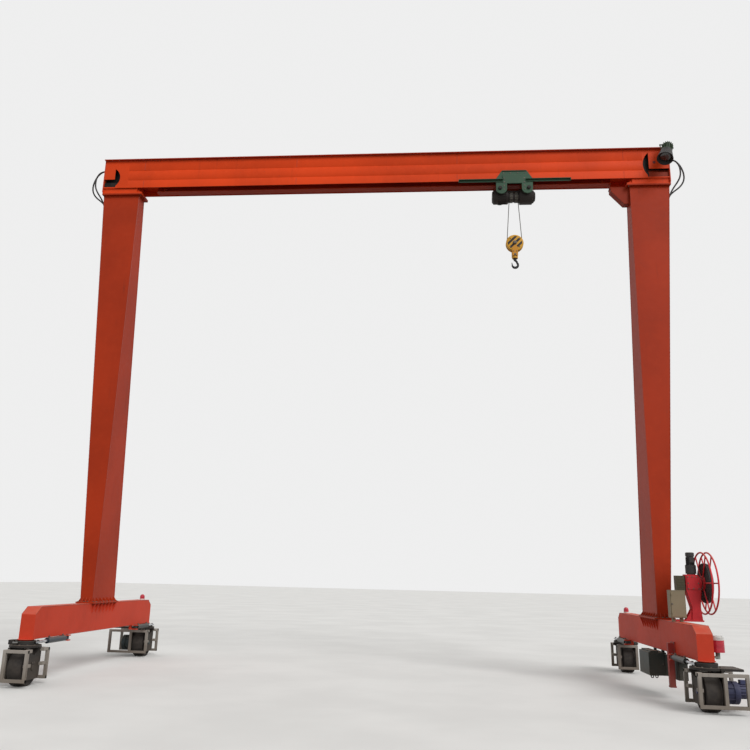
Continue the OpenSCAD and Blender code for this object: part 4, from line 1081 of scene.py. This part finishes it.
def reel_details():
    """Cable wound on the reel: one closed profile of half-round turns, eight layers deep at both sides and
    three turns across the outside, goes round the axis. Bolts of hub, stand, gear case and motor."""
    pitch, inner, outer, half = 0.02107, 0.1105, 0.295, 0.0316
    layers = 8
    step = (outer - inner) / layers
    t = np.linspace(0, np.pi, 7)
    profile = []
    for k in range(layers):
        middle = inner + step * (k + 0.5)
        profile += [(middle - step / 2 * np.cos(a), -half + 0.006 - 0.006 * np.sin(a)) for a in t]
    for k in range(3):
        middle = -half + pitch * (k + 0.5)
        profile += [(outer + 0.0048 * np.sin(a), middle - pitch / 2 * np.cos(a)) for a in t]
    for k in range(layers):
        middle = outer - step * (k + 0.5)
        profile += [(middle + step / 2 * np.cos(a), half - 0.006 + 0.006 * np.sin(a)) for a in t]
    profile.append(profile[0])
    wound = turned(profile, AXLE, RIGHT, 96)
    piece("wound_cable", [wound], "reel_drum", sheath, crease=50)
    hub = [ring_of(8, 0.088, AXLE + (d * 0.057, 0, 0), (d, 0, 0)) for d in (-1, 1)]
    bolts_on("reel_hub_bolts", "reel_drum", [(0.010, (d, 0, 0), places) for d, places in zip((-1, 1), hub)])
    case = [(x, -1.018, z) for x, z in ((5.045, 1.577), (5.122, 1.577), (5.200, 1.577), (5.200, 1.660),
                                        (5.178, 1.752), (5.110, 1.753), (5.045, 1.753), (5.045, 1.660))]
    base = [(4.856, -0.995, 1.114), (4.856, -0.805, 1.114), (4.955, -0.80, 1.114), (5.215, -0.80, 1.114)]
    bolts_on("reel_stand_bolts", "frame",
             [(0.008, (0, -1, 0), case), (0.012, UP, base),
              (0.0055, UP, ring_of(6, 0.073, (5.125, AXLE[1], 1.933), UP)),
              (0.034, RIGHT, [(5.425, *AXLE[1:])])])


def small_bolts():
    """Bolts of the safety foot's plate, the locks of the cabinets and the glands under the large one."""
    foot = [(4.678, -1.246 + dy, z) for dy in (-0.068, 0.068) for z in (0.69, 0.79)]
    bolts_on("safety_foot_bolts", "frame", [(0.010, (-1, 0, 0), foot)])
    locks = [cap(0.013, 0.006, 0.010, 0.009, place, (0, -1, 0), 24)
             for place in ((4.686, -0.650, 0.43), (4.795, -1.340, 0.425), (4.700, -1.300, 1.35))]
    piece("door_locks", locks, "frame", bolt_steel)
    glands = [cap(0.015, 0.012, 0.011, 0.016, (x, y, 0.26), DOWN, 6)
              for x, y in ((4.515, -0.55), (4.549, -0.55), (4.583, -0.55), (4.617, -0.55), (4.54, -0.20),
                           (4.60, -0.20))]
    piece("cabinet_glands", glands, "frame", black_paint)


def loose_fittings():
    """Angle sensor with its pale union on the left slewing plate, and a dark red disc in the girder's right end tab,
    painted shade that stands for the shade inside a hole there.
    """
    piece("angle_sensor", [block((-5.03, -2.40, 0.563), (-4.945, -2.27, 0.628)),
                           block((-4.90, -2.505, 0.563), (-4.85, -2.475, 0.590))],
          "head_ln", black_paint)
    union = turned([(0, 0), (0.013, 0), (0.013, 0.026), (0.009, 0.028), (0.009, 0.052), (0.012, 0.054),
                    (0.012, 0.070), (0, 0.070)], (-4.91, -2.49, 0.600), RIGHT, 6)
    piece("sensor_union", [union], "head_ln", galvanised)
    hole_shade_disc = turned([(0, -0.002), (0.027, -0.002), (0.027, 0.003), (0.022, 0.006), (0.019, 0.003), (0, 0.003)],
                     (5.272, -0.2, 9.407), (0, -1, 0), 32)
    piece("end_tab_hole_shade", [hole_shade_disc], "frame", hole_shade_paint)


def lamp_front():
    """Glass set back in the floodlight's hood: a shallow dome about the beam, inside a clamping ring."""
    beam, seat = BEAM, PIVOT + BEAM * 0.2565
    a = np.linspace(0, np.pi / 2, 7)
    dome = [(0, 0), (0.098, 0)] + [(0.098 * np.cos(t), 0.004 + 0.014 * np.sin(t)) for t in a]
    piece("lamp_glass", [turned(dome, seat, beam, 48)], "frame", glass)
    ring = turned([(0.098, 0), (0.107, 0), (0.107, 0.006), (0.104, 0.009), (0.100, 0.009), (0.098, 0.006),
                   (0.098, 0)],
                  seat, beam, 48)
    piece("lamp_ring", [ring], "frame", black_paint)


for side_name, s in SIDES:
    leg_bolts(side_name, s)
    leg_welds(side_name, s)
girder_welds()
for tag, (s, q) in UNITS.items():
    wheel_unit_bolts(tag, s, q)
    steering_fittings(tag, s, q)
drive_bolts()
trolley_bolts()
hoist_details()
hook_block_details()
reel_details()
small_bolts()
loose_fittings()
lamp_front()


# ---------------------------------------------------------------- floor and light

def studio():
    """Pale floor under a pale sky. A broad soft sun stands at the upper right in front. The floor looks
    pale to the eye and in reflections, and throws little light up, as a yard does."""
    f = Finish("studio_floor")
    camera, glossy = (f.node("ShaderNodeLightPath", output=f"Is {kind} Ray") for kind in ("Camera", "Glossy"))
    seen = camera + glossy
    pale = f.clouded(0.5, 3.0, 0.3, 0.7, (216, 215, 212), (224, 223, 220))
    f.feed("Base Color", f.mix(seen, linear(116, 106, 96), pale))
    f.feed("Roughness", 0.9)
    mesh = bpy.data.meshes.new("studio_floor")
    mesh.from_pydata([(-60, -40, 0), (60, -40, 0), (60, 120, 0), (-60, 120, 0)], [], [(0, 1, 2, 3)])
    mesh.materials.append(f.material)
    floor = bpy.data.objects.new("studio_floor", mesh)
    bpy.context.scene.collection.objects.link(floor)
    sun = bpy.data.lights.new("soft_sun", "SUN")
    sun.energy = 1.9
    sun.angle = np.radians(30)
    sky = bpy.data.objects.new("soft_sun", sun)
    sky.rotation_euler = np.radians((52, 0, 40))
    bpy.context.scene.collection.objects.link(sky)
    world = bpy.data.worlds.new("studio")
    bpy.context.scene.world = world
    world.use_nodes = True
    tree = world.node_tree
    path = tree.nodes.new("ShaderNodeLightPath")
    shown = path.outputs["Is Camera Ray"]
    for kind in ("Is Glossy Ray", "Is Transmission Ray"):
        either = tree.nodes.new("ShaderNodeMath")
        either.operation = "MAXIMUM"
        tree.links.new(shown, either.inputs[0])
        tree.links.new(path.outputs[kind], either.inputs[1])
        shown = either.outputs[0]
    level = tree.nodes.new("ShaderNodeMapRange")
    level.inputs[3].default_value = 0.60
    level.inputs[4].default_value = 0.86
    tree.links.new(shown, level.inputs[0])
    tree.links.new(level.outputs[0], tree.nodes["Background"].inputs["Strength"])
    tree.nodes["Background"].inputs["Color"].default_value = (1.0, 1.0, 1.0, 1.0)


studio()
bpy.context.scene.view_settings.view_transform = "Standard"

bpy.context.view_layer.update()
